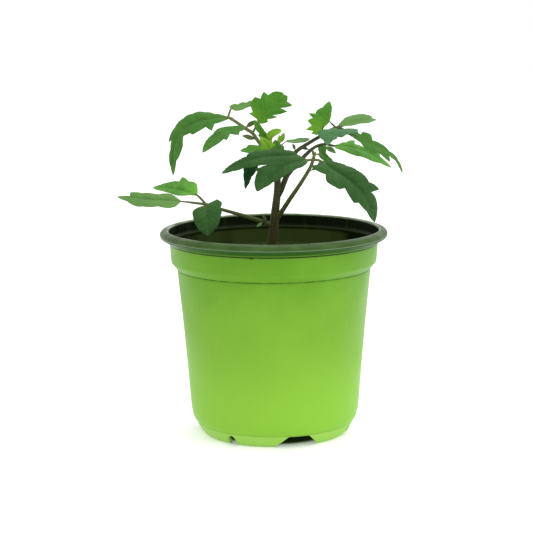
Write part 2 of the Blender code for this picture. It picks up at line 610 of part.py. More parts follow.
def main():
    clear_scene()
    lime = make_material("lime_plastic", (0.16, 0.39, 0.03), 0.35)
    earth = make_material("potting_soil", (0.035, 0.022, 0.014), 0.95)
    bark = make_material("stem_skin", (0.06, 0.04, 0.02), 0.6)
    green = make_material("leaf_green", (0.06, 0.18, 0.03), 0.5)
    make_pot(lime)
    make_soil(earth)
    make_stem(bark)
    clearance = make_stem_clearance()
    for leaf in LEAVES:
        make_leaf(leaf, green, clearance)


main()
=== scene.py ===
"""The finished look of a young tomato plant in a round nursery pot.

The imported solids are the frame. Each sub-assembly below is a class that holds its sizes in millimetres,
makes its meshes in the frame's own place and dresses them. MM turns millimetres into metres where a mesh is
made.
"""

import json
import logging
from dataclasses import dataclass
from enum import Enum
from functools import cache
from math import cos, pi, radians, sin, tan
from typing import Iterable, Sequence

import bpy
import numpy as np
from mathutils import Matrix, Vector
from mathutils.geometry import delaunay_2d_cdt

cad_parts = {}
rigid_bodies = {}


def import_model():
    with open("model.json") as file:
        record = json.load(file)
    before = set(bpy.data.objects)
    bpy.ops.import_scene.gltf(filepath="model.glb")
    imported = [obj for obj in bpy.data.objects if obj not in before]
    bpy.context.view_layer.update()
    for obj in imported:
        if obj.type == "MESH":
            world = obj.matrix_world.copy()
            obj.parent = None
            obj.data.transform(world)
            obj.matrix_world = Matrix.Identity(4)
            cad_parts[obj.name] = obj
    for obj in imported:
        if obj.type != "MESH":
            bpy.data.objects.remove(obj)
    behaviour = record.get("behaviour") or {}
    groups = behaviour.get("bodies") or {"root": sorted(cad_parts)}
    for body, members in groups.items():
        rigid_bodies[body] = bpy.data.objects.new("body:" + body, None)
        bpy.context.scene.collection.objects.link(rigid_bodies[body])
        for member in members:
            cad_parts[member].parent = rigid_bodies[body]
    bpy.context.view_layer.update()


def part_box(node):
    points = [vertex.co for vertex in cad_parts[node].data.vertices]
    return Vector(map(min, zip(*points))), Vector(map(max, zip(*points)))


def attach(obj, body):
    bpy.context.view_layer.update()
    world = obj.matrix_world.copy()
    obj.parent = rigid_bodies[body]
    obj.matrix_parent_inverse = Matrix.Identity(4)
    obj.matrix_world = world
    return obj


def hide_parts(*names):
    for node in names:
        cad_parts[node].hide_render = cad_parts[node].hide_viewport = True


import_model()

log = logging.getLogger("tomato_plant")

Point = tuple[float, float, float]
Share = tuple[float, float]
Colour = tuple[float, float, float]

MM = 0.001
SEED = 41


class Slot(Enum):
    """The record's material slots."""

    POT = "pot_plastic"
    SOIL = "potting_soil"
    STEM = "stem_skin"
    LEAF = "leaf_green"
    YOUNG = "young_leaf_green"


class Tone(Enum):
    """How old a blade looks, and how lit through or shaded it is, painted into its colour."""

    SHADE = "shade"
    DEEP = "deep"
    MID = "mid"
    BRIGHT = "bright"
    PALE = "pale"
    YOUNG = "young"
    TIP = "tip"
    OLIVE = "olive"
    BLUE = "blue"


# Hand tools


def deselect_all() -> None:
    """Leaves nothing selected."""
    for obj in bpy.context.view_layer.objects:
        obj.select_set(False)


def pick(*objects: bpy.types.Object) -> None:
    """Selects only these objects and makes the first one active.

    Args:
        objects: what to select.
    """
    deselect_all()
    for obj in objects:
        obj.select_set(True)
    bpy.context.view_layer.objects.active = objects[0]


def metres(*sizes: float) -> tuple[float, ...]:
    """Turns sizes in millimetres into metres."""
    return tuple(MM * size for size in sizes)


def put(name: str, data: bpy.types.ID) -> bpy.types.Object:
    """Puts a mesh, curve, light or camera into the scene as an object.

    Args:
        name: the object's name.
        data: what it holds.

    Returns:
        The object.
    """
    obj = bpy.data.objects.new(name, data)
    bpy.context.scene.collection.objects.link(obj)
    return obj


def turn_outwards(merge: float = 0.0) -> None:
    """Turns the active mesh's faces outwards, in edit mode, and leaves edit mode.

    Args:
        merge: how close together points are merged first, in millimetres; at 0 none are.
    """
    bpy.ops.object.mode_set(mode="EDIT")
    bpy.ops.mesh.select_all(action="SELECT")
    if merge:
        bpy.ops.mesh.remove_doubles(threshold=merge * MM)
    bpy.ops.mesh.normals_make_consistent(inside=False)
    bpy.ops.object.mode_set(mode="OBJECT")


def finish_modifiers(obj: bpy.types.Object) -> None:
    """Applies every modifier of an object, in order.

    Args:
        obj: the object to finish.
    """
    pick(obj)
    for modifier in list(obj.modifiers):
        bpy.ops.object.modifier_apply(modifier=modifier.name)


def join(name: str, objects: Sequence[bpy.types.Object]) -> bpy.types.Object:
    """Joins meshes into one object.

    Args:
        name: the name of the joined piece.
        objects: the meshes to join.

    Returns:
        The joined piece.
    """
    pick(*objects)
    if len(objects) > 1:
        bpy.ops.object.join()
    whole = bpy.context.view_layer.objects.active
    whole.name = whole.data.name = name
    return whole


def smooth(obj: bpy.types.Object, angle: float = 40.0) -> None:
    """Shades an object smooth, with edges sharp where they turn by more than an angle in degrees."""
    pick(obj)
    bpy.ops.object.shade_smooth_by_angle(angle=radians(angle))


def select_where(obj: bpy.types.Object, kind: str, chosen: Iterable[int]) -> None:
    """Selects chosen elements of a mesh, for the edit-mode operators that follow.

    Args:
        obj: an object in object mode.
        kind: VERT, EDGE or FACE.
        chosen: the indices to select.
    """
    mesh = obj.data
    parts = {"VERT": mesh.vertices, "EDGE": mesh.edges, "FACE": mesh.polygons}[kind]
    pick(obj)
    bpy.ops.object.mode_set(mode="EDIT")
    bpy.ops.mesh.select_mode(type=kind)
    bpy.ops.mesh.select_all(action="DESELECT")
    bpy.ops.object.mode_set(mode="OBJECT")
    for index in chosen:
        parts[index].select = True
    bpy.ops.object.mode_set(mode="EDIT")


def lathe(name: str, profile: Sequence[Share], steps: int) -> bpy.types.Object:
    """Turns a profile about the upright axis into a closed shell.

    Args:
        name: the name of the new piece.
        profile: radius and height of each point, in millimetres, from the axis round to the axis again.
        steps: how many flats the turn has.

    Returns:
        The turned piece, at the origin.
    """
    first, *others = [Vector((MM * r, 0, MM * z)) for r, z in profile]
    bpy.ops.mesh.primitive_plane_add(size=MM, location=(0, 0, 0))
    piece = bpy.context.object
    piece.name = piece.data.name = name
    select_where(piece, "VERT", range(1, 4))
    bpy.ops.mesh.delete(type="VERT")
    bpy.ops.object.mode_set(mode="OBJECT")
    piece.data.vertices[0].co = first
    select_where(piece, "VERT", [0])
    here = first
    for place in others:
        bpy.ops.mesh.extrude_region_move(TRANSFORM_OT_translate={"value": place - here})
        here = place
    bpy.ops.mesh.select_all(action="SELECT")
    bpy.ops.mesh.spin(steps=steps, angle=2 * pi, center=(0, 0, 0), axis=(0, 0, 1))
    turn_outwards(merge=0.002)
    return piece


def bow(start: np.ndarray, middle: np.ndarray, end: np.ndarray, share: np.ndarray) -> np.ndarray:
    """Reads, at shares from 0 to 1, a bow that leaves its start toward a middle point for its end."""
    return (1 - share) ** 2 * start + 2 * share * (1 - share) * middle + share**2 * end


def rounded(corners: Sequence[Point], turns: int = 4) -> list[Share]:
    """Rounds the corners of a profile.

    Args:
        corners: radius, height and rounding of each corner, in millimetres.
        turns: how many points stand on each rounded corner, less one.

    Returns:
        Radius and height of each point of the rounded profile.
    """
    line: list[Share] = []
    for index, (r, z, rounding) in enumerate(corners):
        if rounding <= 0 or index in (0, len(corners) - 1):
            line.append((r, z))
            continue
        here = np.array((r, z))
        before = np.array(corners[index - 1][:2]) - here
        after = np.array(corners[index + 1][:2]) - here
        start = here + before * min(rounding / np.linalg.norm(before), 0.48)
        end = here + after * min(rounding / np.linalg.norm(after), 0.48)
        for share in np.linspace(0, 1, turns + 1):
            bent = bow(start, here, end, share)
            line.append((float(bent[0]), float(bent[1])))
    return line


def unit(vectors: np.ndarray) -> np.ndarray:
    """Scales one vector, or one in each row, to a length of one."""
    vectors = np.asarray(vectors, float)
    return vectors / np.linalg.norm(vectors, axis=-1, keepdims=True)


def smooth_curve(points: Sequence[Point], count: int) -> np.ndarray:
    """Draws the smooth line that passes through some points.

    Args:
        points: the points that the line passes through.
        count: how many evenly spaced points of the line to give.

    Returns:
        The line's points, one in each row.
    """
    given = np.asarray(points, float)
    known = np.vstack([2 * given[0] - given[1], given, 2 * given[-1] - given[-2]])
    share = np.linspace(0, 1, 20, endpoint=False)[:, None]
    curve = []
    for a, b, c, d in zip(known, known[1:], known[2:], known[3:]):
        curve.append(b + 0.5 * share * (c - a + share * (2 * a - 5 * b + 4 * c - d
                                                         + share * (3 * b - 3 * c + d - a))))
    curve = np.vstack([*curve, given[-1]])
    length = np.r_[0, np.cumsum(np.linalg.norm(np.diff(curve, axis=0), axis=1))]
    at = np.linspace(0, length[-1], count)
    return np.stack([np.interp(at, length, curve[:, axis]) for axis in range(given.shape[1])], axis=-1)


def along(line: np.ndarray, share: np.ndarray) -> np.ndarray:
    """Reads a line of evenly spaced points at some shares, from 0 to 1, of its length."""
    at = np.linspace(0, 1, len(line))
    return np.stack([np.interp(share, at, line[:, axis]) for axis in range(line.shape[1])], axis=-1)


def turn_from(step: np.ndarray, onward: np.ndarray) -> float:
    """Measures how one flat step turns into another: above 0 to the left, below 0 to the right."""
    return step[0] * onward[1] - step[1] * onward[0]


def gap_to(points: np.ndarray, lines: Sequence[np.ndarray]) -> np.ndarray:
    """Measures how far points lie from the nearest of some flat lines.

    Args:
        points: flat points, one in each row.
        lines: lines of flat points.

    Returns:
        The distance of each point.
    """
    nearest = np.full(len(points), np.inf)
    for line in lines:
        start, step = line[:-1], np.diff(line, axis=0)
        square = np.maximum((step**2).sum(axis=1), 1e-12)
        share = ((points[:, None] - start) * step).sum(axis=2) / square
        foot = start + np.clip(share, 0, 1)[..., None] * step
        nearest = np.minimum(nearest, np.linalg.norm(points[:, None] - foot, axis=2).min(axis=1))
    return nearest


def is_inside(points: np.ndarray, outline: np.ndarray) -> np.ndarray:
    """Tells which points lie inside a closed flat outline.

    Args:
        points: flat points, one in each row.
        outline: the outline's points in order.

    Returns:
        True for each point inside.
    """
    a, b = outline, np.roll(outline, -1, axis=0)
    x, y = points[:, :1], points[:, 1:]
    spans = (a[:, 1] > y) != (b[:, 1] > y)
    rise = np.where(b[:, 1] == a[:, 1], 1, b[:, 1] - a[:, 1])
    crossing = a[:, 0] + (y - a[:, 1]) * (b[:, 0] - a[:, 0]) / rise
    return ((spans & (x < crossing)).sum(axis=1) % 2).astype(bool)


def scatter(name: str, pattern: bpy.types.Object, places: Sequence[Matrix]) -> bpy.types.Object:
    """Copies one modelled piece to many places, as one mesh, and removes the pattern.

    Args:
        name: the name of the new piece.
        pattern: the piece to copy.
        places: the place, turn and scale of each copy, in metres.

    Returns:
        The piece that holds all the copies.
    """
    points = np.array([(*v.co, 1.0) for v in pattern.data.vertices])
    faces = [tuple(p.vertices) for p in pattern.data.polygons]
    copies = [points @ np.array(place).T[:, :3] for place in places]
    count = len(points)
    every = [tuple(k * count + i for i in face) for k in range(len(places)) for face in faces]
    mesh = bpy.data.meshes.new(name)
    mesh.from_pydata(np.vstack(copies).tolist(), [], every)
    piece = put(name, mesh)
    bpy.data.objects.remove(pattern)
    return piece


def lump(rng: np.random.Generator, fineness: int, uneven: Share) -> bpy.types.Object:
    """Models one uneven lump, a millimetre in radius.

    Args:
        rng: the draw of chances.
        fineness: how finely its ball is divided.
        uneven: the least and the most that a corner moves out by.

    Returns:
        The lump.
    """
    bpy.ops.mesh.primitive_ico_sphere_add(subdivisions=fineness, radius=MM)
    made = bpy.context.object
    for vertex in made.data.vertices:
        vertex.co *= rng.uniform(*uneven)
    return made


def placed(place: np.ndarray, axis: np.ndarray, turn: float, scale: Sequence[float]) -> Matrix:
    """Stands a copy on a place in metres, its +Z along an axis, turned about it and scaled."""
    upright = Vector(axis).to_track_quat("Z", "Y").to_matrix().to_4x4()
    return Matrix.Translation(place) @ upright @ Matrix.Rotation(turn, 4, "Z") @ Matrix.Diagonal((*scale, 1))


# Finishes


class Wiring:
    """Wires the nodes of one surface material."""

    def __init__(self, name: str) -> None:
        """Starts a material.

        Args:
            name: the material's name.
        """
        self.material = bpy.data.materials.new(name)
        self.material.use_nodes = True
        self.tree = self.material.node_tree
        self.surface = next(n for n in self.tree.nodes if n.type == "BSDF_PRINCIPLED")

    def node(self, kind: str, inputs: dict | None = None, **settings: object) -> bpy.types.Node:
        """Adds a node.

        Args:
            kind: the node's type.
            inputs: a value or an output socket for each input, by its name or number.
            settings: the node's own settings.

        Returns:
            The new node.
        """
        made = self.tree.nodes.new(kind)
        for key, value in settings.items():
            setattr(made, key, value)
        for key, value in (inputs or {}).items():
            self.feed(made.inputs[key], value)
        return made

    def feed(self, socket: bpy.types.NodeSocket, value: object) -> None:
        """Links an output to a socket, or sets the socket's number or colour.

        Args:
            socket: the input socket.
            value: an output socket, a number or a colour.
        """
        if isinstance(value, bpy.types.NodeSocket):
            self.tree.links.new(value, socket)
        elif isinstance(value, tuple) and len(value) == 3 and socket.type == "RGBA":
            socket.default_value = (*value, 1)
        else:
            socket.default_value = value

    def place(self) -> bpy.types.NodeSocket:
        """Gives the object coordinates, in metres."""
        return self.node("ShaderNodeTexCoord").outputs["Object"]

    def stretched(self, scale: Point) -> bpy.types.NodeSocket:
        """Gives the object coordinates, scaled along X, Y and Z."""
        mapping = self.node("ShaderNodeMapping", {"Vector": self.place(), "Scale": scale})
        return mapping.outputs["Vector"]

    def noise(self, scale: float | Point, detail: float = 3.0) -> bpy.types.NodeSocket:
        """Adds a noise pattern.

        Args:
            scale: cells in a metre, one number for every way or one each along X, Y and Z.
            detail: how many finer layers it has.

        Returns:
            The noise, from 0 to 1.
        """
        even = isinstance(scale, float)
        inputs = {"Vector": self.place() if even else self.stretched(scale), "Scale": scale if even else 1.0,
                  "Detail": detail, "Roughness": 0.55}
        return self.node("ShaderNodeTexNoise", inputs).outputs["Fac"]

    def cells(self, scale: float, feature: str = "F1") -> bpy.types.NodeSocket:
        """Adds cells, so many in a metre, and gives the distance to their middles or, by feature, edges."""
        made = self.node("ShaderNodeTexVoronoi", {"Vector": self.place(), "Scale": scale}, feature=feature)
        return made.outputs["Distance"]

    def read(self, name: str) -> bpy.types.NodeSocket:
        """Reads one of the mesh's own attributes by its name."""
        return self.node("ShaderNodeAttribute", attribute_name=name).outputs["Fac"]

    def height(self) -> bpy.types.NodeSocket:
        """Gives the height above the floor, in metres."""
        return self.node("ShaderNodeSeparateXYZ", {0: self.place()}).outputs["Z"]

    def radius(self) -> bpy.types.NodeSocket:
        """Gives the distance from the upright axis, in metres."""
        flat = self.stretched((1.0, 1.0, 0.0))
        return self.node("ShaderNodeVectorMath", {0: flat}, operation="LENGTH").outputs["Value"]

    def line_at(self, value: bpy.types.NodeSocket, middle: float, reach: float) -> bpy.types.NodeSocket:
        """Marks a soft line where a value passes a size.

        Args:
            value: the value, in metres.
            middle: the size on the line, in millimetres.
            reach: how far on each side the line fades out, in millimetres.

        Returns:
            1 on the line and 0 away from it.
        """
        off = self.node("ShaderNodeMath", {0: value, 1: middle * MM}, operation="SUBTRACT").outputs[0]
        gap = self.node("ShaderNodeMath", {0: off}, operation="ABSOLUTE").outputs[0]
        return self.ranged(gap, reach * MM, 0.3 * reach * MM)

    def ranged(self, value: bpy.types.NodeSocket, low: float, high: float, start: float = 0.0,
               end: float = 1.0) -> bpy.types.NodeSocket:
        """Maps a range of values softly onto another and clamps it.

        Args:
            value: what to map.
            low: the value that becomes start.
            high: the value that becomes end.
            start: the result at low.
            end: the result at high.

        Returns:
            The mapped value.
        """
        inputs = {"Value": value, 1: low, 2: high, 3: start, 4: end}
        made = self.node("ShaderNodeMapRange", inputs, interpolation_type="SMOOTHSTEP")
        return made.outputs["Result"]

    def times(self, first: object, second: object) -> bpy.types.NodeSocket:
        """Multiplies two values or sockets."""
        return self.node("ShaderNodeMath", {0: first, 1: second}, operation="MULTIPLY").outputs[0]

    def mix(self, share: object, first: object, second: object, strength: object = None
            ) -> bpy.types.NodeSocket:
        """Mixes two colours.

        Args:
            share: how much of the second colour shows.
            first: the first colour.
            second: the second colour.
            strength: what share is multiplied by, or None to leave it.

        Returns:
            The mixed colour.
        """
        if strength is not None:
            share = self.times(share, strength)
        made = self.node("ShaderNodeMix", data_type="RGBA")
        for socket, value in ((made.inputs[0], share), (made.inputs[6], first), (made.inputs[7], second)):
            self.feed(socket, value)
        return made.outputs[2]

    def bump(self, height: bpy.types.NodeSocket, distance: float, strength: float = 1.0,
             under: bpy.types.NodeSocket | None = None) -> bpy.types.NodeSocket:
        """Raises a relief on the surface.

        Args:
            height: the relief, from 0 to 1.
            distance: how high 1 stands, in millimetres.
            strength: how much of it counts.
            under: a relief that this one lies on.

        Returns:
            The bent normal.
        """
        inputs = {"Height": height, "Distance": distance * MM, "Strength": strength}
        made = self.node("ShaderNodeBump", inputs)
        if under is not None:
            self.feed(made.inputs["Normal"], under)
        return made.outputs["Normal"]

    def dress(self, colour: object, roughness: object, relief: bpy.types.NodeSocket, gloss: float = 0.5
              ) -> bpy.types.Material:
        """Sets the surface's own sockets.

        Args:
            colour: the base colour.
            roughness: the roughness.
            relief: the bent normal.
            gloss: how strongly it mirrors, where 0.5 is plain plastic.

        Returns:
            The finished material.
        """
        for name, value in (("Base Color", colour), ("Roughness", roughness), ("Normal", relief),
                            ("Specular IOR Level", gloss)):
            self.feed(self.surface.inputs[name], value)
        return self.material


@dataclass(frozen=True)
class LimeWall:
    """Thin lime plastic, with painted shade under the rim and along its creases, painted light and shade
    from top to foot, and a few specks of dirt.

    creases holds the height, reach and strength of each dark line of painted shade. The other heights are
    where the colour starts and ends to change: rise and top up the wall and band at the foot, where light
    and shade are painted by height, and shade under the rim, where shade is painted.
    """

    name: str
    high: Colour
    middle: Colour
    low: Colour
    crease_shade: Colour
    dust: Colour
    foot: Colour
    scuff: Colour
    creases: tuple[Point, ...] = ((118.6, 0.5, 0.5), (103.1, 0.6, 0.7), (7.7, 0.45, 0.35))
    rise: Share = (12.0, 75.0)
    top: Share = (60.0, 112.0)
    band: Share = (8.5, 6.5)
    shade: Share = (119.4, 120.6)

    def material(self) -> bpy.types.Material:
        """Makes the plastic.

        Returns:
            The finished material.
        """
        w = Wiring(self.name)
        height = w.height()
        # Painted light and shade: darker towards the top under the rim's overhang, paler towards the foot
        # for light bounced up from the floor.
        colour = w.mix(w.ranged(height, *metres(*self.rise)), self.low, self.middle)
        colour = w.mix(w.ranged(height, *metres(*self.band), 0.0, 0.55), colour, self.foot)
        colour = w.mix(w.ranged(height, *metres(*self.top)), colour, self.high)
        clouds = w.ranged(w.noise(24.0, 4.0), 0.35, 0.7)
        colour = w.mix(clouds, colour, self.low, 0.22)
        streaks = w.ranged(w.noise((420.0, 420.0, 14.0), 4.0), 0.5, 0.75)
        colour = w.mix(streaks, colour, self.low, 0.07)
        scuffs = w.ranged(w.noise((160.0, 160.0, 700.0), 6.0), 0.68, 0.82)
        colour = w.mix(scuffs, colour, self.scuff, 0.05)
        # Painted shade: a dark mottled line along each crease, where shade falls.
        mottle = w.ranged(w.noise(260.0, 3.0), 0.25, 0.6, 0.3, 1.0)
        for middle, reach, strength in self.creases:
            line = w.times(w.line_at(height, middle, reach), w.times(mottle, strength))
            colour = w.mix(line, colour, self.crease_shade)
        # Painted shade under the rim's overhang.
        colour = w.mix(w.ranged(height, *metres(*self.shade), 0.0, 0.93), colour, self.crease_shade)
        specks = w.ranged(w.cells(300.0), 0.1, 0.05)
        grime = w.times(specks, w.ranged(w.noise(60.0), 0.6, 0.75))
        colour = w.mix(grime, colour, self.dust, 0.7)
        rough = w.ranged(w.noise(35.0, 5.0), 0.3, 0.7, 0.36, 0.5)
        relief = w.bump(w.noise(900.0, 2.0), 0.02, 0.4)
        relief = w.bump(w.noise((30.0, 30.0, 260.0), 2.0), 0.04, 0.3, relief)
        return w.dress(colour, rough, relief, 0.2)


@dataclass(frozen=True)
class OliveRim:
    """The olive rolled rim, smudged by handling, with a painted highlight along its inner edge and a fainter
    one along the lower edge of its outer face.
    """

    name: str
    body: Colour
    smudge: Colour
    edge_highlight: Colour
    inner_edge: Share = (65.3, 0.8)
    outer_edge: Share = (123.3, 0.5)

    def material(self) -> bpy.types.Material:
        """Makes the rim's plastic.

        Returns:
            The finished material.
        """
        w = Wiring(self.name)
        colour = w.mix(w.ranged(w.noise(120.0, 4.0), 0.4, 0.7), self.body, self.smudge)
        fine = w.ranged(w.noise((300.0, 300.0, 900.0), 5.0), 0.45, 0.75)
        colour = w.mix(fine, colour, self.smudge, 0.35)
        # Painted highlight: a pale line along the crest's inner edge, broken up by noise, and a fainter one
        # at the lower edge of the outer face.
        highlight_breakup = w.ranged(w.noise(70.0, 3.0), 0.35, 0.65, 0.25, 1.0)
        colour = w.mix(w.line_at(w.radius(), *self.inner_edge), colour, self.edge_highlight, highlight_breakup)
        colour = w.mix(w.line_at(w.height(), *self.outer_edge), colour, self.edge_highlight, 0.35)
        rough = w.ranged(w.noise(90.0, 4.0), 0.3, 0.7, 0.3, 0.48)
        return w.dress(colour, rough, w.bump(w.noise(700.0, 3.0), 0.05, 0.5), 0.2)


@dataclass(frozen=True)
class OliveInside:
    """The olive inside, darkened all over as painted shade, with paler clouded patches of painted light low
    on its wall, faint painted light streaks and a painted highlight along its ledge.
    """

    name: str
    dark: Colour
    lit_patch: Colour
    ledge: Colour
    below: Share = (118.5, 116.5)
    ledge_highlight_line: Share = (119.2, 0.7)

    def material(self) -> bpy.types.Material:
        """Makes the inside's plastic.

        Returns:
            The finished material.
        """
        w = Wiring(self.name)
        height = w.height()
        low = w.ranged(height, *metres(*self.below))
        # Painted light: paler clouded patches low on the wall.
        clouds = w.ranged(w.noise((26.0, 26.0, 9.0), 2.0), 0.42, 0.62)
        # The darkened olive is painted shade; the patches mixed in low on the wall are painted light.
        colour = w.mix(low, self.dark, self.lit_patch, clouds)
        # Painted highlight along the ledge.
        colour = w.mix(w.line_at(height, *self.ledge_highlight_line), colour, self.ledge, 0.5)
        # Painted light: faint paler streaks over the wall.
        painted_light_streaks = w.ranged(w.noise((200.0, 200.0, 30.0), 4.0), 0.55, 0.75, 0.0, 0.4)
        colour = w.mix(painted_light_streaks, colour, self.lit_patch)
        rough = w.ranged(w.noise(60.0, 4.0), 0.3, 0.7, 0.3, 0.5)
        return w.dress(colour, rough, w.bump(w.noise(500.0, 3.0), 0.05, 0.5), 0.08)


@dataclass(frozen=True)
class Earth:
    """Damp peat compost."""

    name: str
    dark: Colour
    light: Colour

    def material(self) -> bpy.types.Material:
        """Makes the compost.

        Returns:
            The finished material.
        """
        w = Wiring(self.name)
        colour = w.mix(w.ranged(w.noise(420.0, 6.0), 0.35, 0.7), self.dark, self.light)
        colour = w.mix(w.ranged(w.noise(60.0, 3.0), 0.45, 0.7, 0.0, 0.6), colour, self.dark)
        relief = w.bump(w.noise(1300.0, 6.0), 0.35, 0.9)
        return w.dress(colour, w.ranged(w.noise(200.0), 0.3, 0.7, 0.75, 1.0), relief, 0.2)


@dataclass(frozen=True)
class Grit:
    """Puffed white perlite grains with a chalky, pitted skin."""

    name: str
    chalk: Colour
    stain: Colour

    def material(self) -> bpy.types.Material:
        """Makes the grit.

        Returns:
            The finished material.
        """
        w = Wiring(self.name)
        colour = w.mix(w.ranged(w.noise(900.0, 4.0), 0.4, 0.7), self.chalk, self.stain)
        return w.dress(colour, 0.9, w.bump(w.cells(2600.0), 0.2, 0.8))


@dataclass(frozen=True)
class StemSkin:
    """Stem skin that runs from one colour at its foot to another higher up, with fine lengthwise ridges."""

    name: str
    low: Colour
    high: Colour
    flush: Colour
    climb: Share

    def material(self) -> bpy.types.Material:
        """Makes the stem skin.

        Returns:
            The finished material.
        """
        w = Wiring(self.name)
        colour = w.mix(w.ranged(w.height(), *metres(*self.climb)), self.low, self.high)
        streaks = w.ranged(w.noise((1100.0, 1100.0, 120.0), 4.0), 0.4, 0.7)
        colour = w.mix(streaks, colour, self.flush, 0.45)
        dots = w.ranged(w.cells(1500.0), 0.3, 0.12)
        colour = w.mix(dots, colour, self.high, 0.3)
        relief = w.bump(w.noise((1500.0, 1500.0, 150.0), 3.0), 0.2, 0.6)
        return w.dress(colour, 0.55, relief, 0.2)


@dataclass(frozen=True)
class LeafSkin:
    """One side of a blade: its flesh with blotches of painted shade, its veins, the tint at its base, and a
    fine net between the veins.
    """

    name: str
    flesh: Colour
    shade: Colour
    vein: Colour
    base: Colour
    vein_show: float
    roughness: float = 0.5

    def material(self) -> bpy.types.Material:
        """Makes the leaf skin.

        Returns:
            The finished material.
        """
        w = Wiring(self.name)
        # Painted shade: blotches of the shade colour stand for patches of shadow over the blade.
        painted_shade_blotches = w.ranged(w.noise(130.0, 4.0), 0.35, 0.7)
        colour = w.mix(painted_shade_blotches, self.flesh, self.shade, 0.6)
        colour = w.mix(w.ranged(w.noise(900.0, 3.0), 0.4, 0.75, 0.0, 0.3), colour, self.shade)
        base = w.ranged(w.read("share"), 0.42, -0.05)
        colour = w.mix(base, colour, self.base, 0.85)
        net = w.ranged(w.cells(620.0, "DISTANCE_TO_EDGE"), 0.09, 0.0)
        colour = w.mix(net, colour, self.vein, 0.18 * self.vein_show)
        side = w.ranged(w.read("vein_gap"), 0.42, 0.08)
        colour = w.mix(side, colour, self.vein, 0.55 * self.vein_show)
        rib = w.ranged(w.read("rib_gap"), 0.85, 0.2)
        colour = w.mix(rib, colour, self.vein, self.vein_show)
        relief = w.bump(w.ranged(w.cells(620.0, "DISTANCE_TO_EDGE"), 0.0, 0.3), 0.1, 0.5)
        relief = w.bump(w.noise(2400.0, 2.0), 0.04, 0.5, relief)
        return w.dress(colour, self.roughness, relief, 0.1)


@dataclass(frozen=True)
class Down:
    """The pale short hairs of stem and stalks."""

    name: str
    dark: Colour
    light: Colour

    def material(self) -> bpy.types.Material:
        """Makes the down.

        Returns:
            The finished material.
        """
        w = Wiring(self.name)
        colour = w.mix(w.ranged(w.noise(300.0), 0.4, 0.7), self.dark, self.light)
        return w.dress(colour, 0.6, w.bump(w.noise(3000.0), 0.01), 0.2)


# The lime plastic's fourth colour is painted shade, for its creases and under its rim.
LIME = LimeWall("lime_plastic", (0.100, 0.270, 0.006), (0.152, 0.342, 0.017), (0.222, 0.478, 0.033),
                (0.003, 0.045, 0.0004), (0.05, 0.06, 0.02), (0.36, 0.60, 0.115), (0.75, 0.85, 0.6))
# The rim's third colour is a pale painted highlight.
RIM = OliveRim("olive_rim", (0.026, 0.067, 0.006), (0.043, 0.094, 0.014), (0.34, 0.42, 0.29))
# The inside's first colour is olive darkened as painted shade; its second and third colours are painted
# light.
SHADED_INSIDE = OliveInside("olive_inside_painted_shade", (0.0025, 0.0075, 0.0004), (0.040, 0.066, 0.012), (0.055, 0.09, 0.022))
PEAT = Earth("peat", (0.008, 0.005, 0.003), (0.045, 0.028, 0.016))
PERLITE = Grit("perlite", (0.72, 0.70, 0.64), (0.45, 0.41, 0.33))
STEM = StemSkin("stem_skin", (0.050, 0.045, 0.010), (0.050, 0.060, 0.015), (0.016, 0.012, 0.005), (125, 178))
STALK = StemSkin("stalk_skin", (0.080, 0.105, 0.026), (0.125, 0.170, 0.045), (0.045, 0.045, 0.016),
                 (130, 186))
DARK_STALK = StemSkin("dark_stalk_skin", (0.022, 0.020, 0.005), (0.050, 0.062, 0.016), (0.012, 0.009, 0.004),
                      (140, 182))
DOWN = Down("down", (0.22, 0.26, 0.12), (0.35, 0.40, 0.20))

# The upper-side colour of each tone: besides age, the tones paint how lit or shaded a blade is; leaf_shade
# paints a blade in shadow.
UPPER = {
    Tone.SHADE: LeafSkin("leaf_shade", (0.006, 0.042, 0.008), (0.004, 0.028, 0.005), (0.016, 0.075, 0.012),
                         (0.006, 0.042, 0.008), 0.5),
    Tone.DEEP: LeafSkin("leaf_deep", (0.026, 0.084, 0.016), (0.017, 0.060, 0.011), (0.062, 0.150, 0.038),
                        (0.034, 0.105, 0.021), 0.4),
    Tone.MID: LeafSkin("leaf_mid", (0.052, 0.170, 0.022), (0.036, 0.125, 0.017), (0.12, 0.26, 0.06),
                       (0.06, 0.19, 0.026), 0.5),
    Tone.BRIGHT: LeafSkin("leaf_bright", (0.085, 0.265, 0.030), (0.050, 0.165, 0.022), (0.16, 0.36, 0.07),
                          (0.125, 0.40, 0.035), 0.45),
    Tone.PALE: LeafSkin("leaf_pale", (0.096, 0.225, 0.046), (0.070, 0.178, 0.034), (0.15, 0.30, 0.088),
                        (0.105, 0.235, 0.05), 0.4),
    Tone.YOUNG: LeafSkin("leaf_young", (0.055, 0.200, 0.014), (0.036, 0.135, 0.011), (0.12, 0.30, 0.034),
                         (0.11, 0.28, 0.013), 0.42),
    Tone.TIP: LeafSkin("leaf_tip", (0.17, 0.36, 0.022), (0.095, 0.24, 0.018), (0.26, 0.45, 0.05),
                       (0.24, 0.40, 0.022), 0.4),
    Tone.OLIVE: LeafSkin("leaf_olive", (0.062, 0.092, 0.022), (0.040, 0.058, 0.016), (0.11, 0.15, 0.045),
                         (0.052, 0.062, 0.020), 0.4),
    Tone.BLUE: LeafSkin("leaf_blue_green", (0.050, 0.160, 0.052), (0.036, 0.118, 0.036), (0.10, 0.24, 0.085),
                        (0.055, 0.17, 0.05), 0.4),
}
UNDER = LeafSkin("leaf_under", (0.105, 0.235, 0.060), (0.080, 0.19, 0.046), (0.19, 0.33, 0.12),
                 (0.115, 0.24, 0.065), 0.6, 0.62)


@cache
def material_of(finish: object) -> bpy.types.Material:
    """Makes the material of a finish once, and gives it again at each later call."""
    return finish.material()


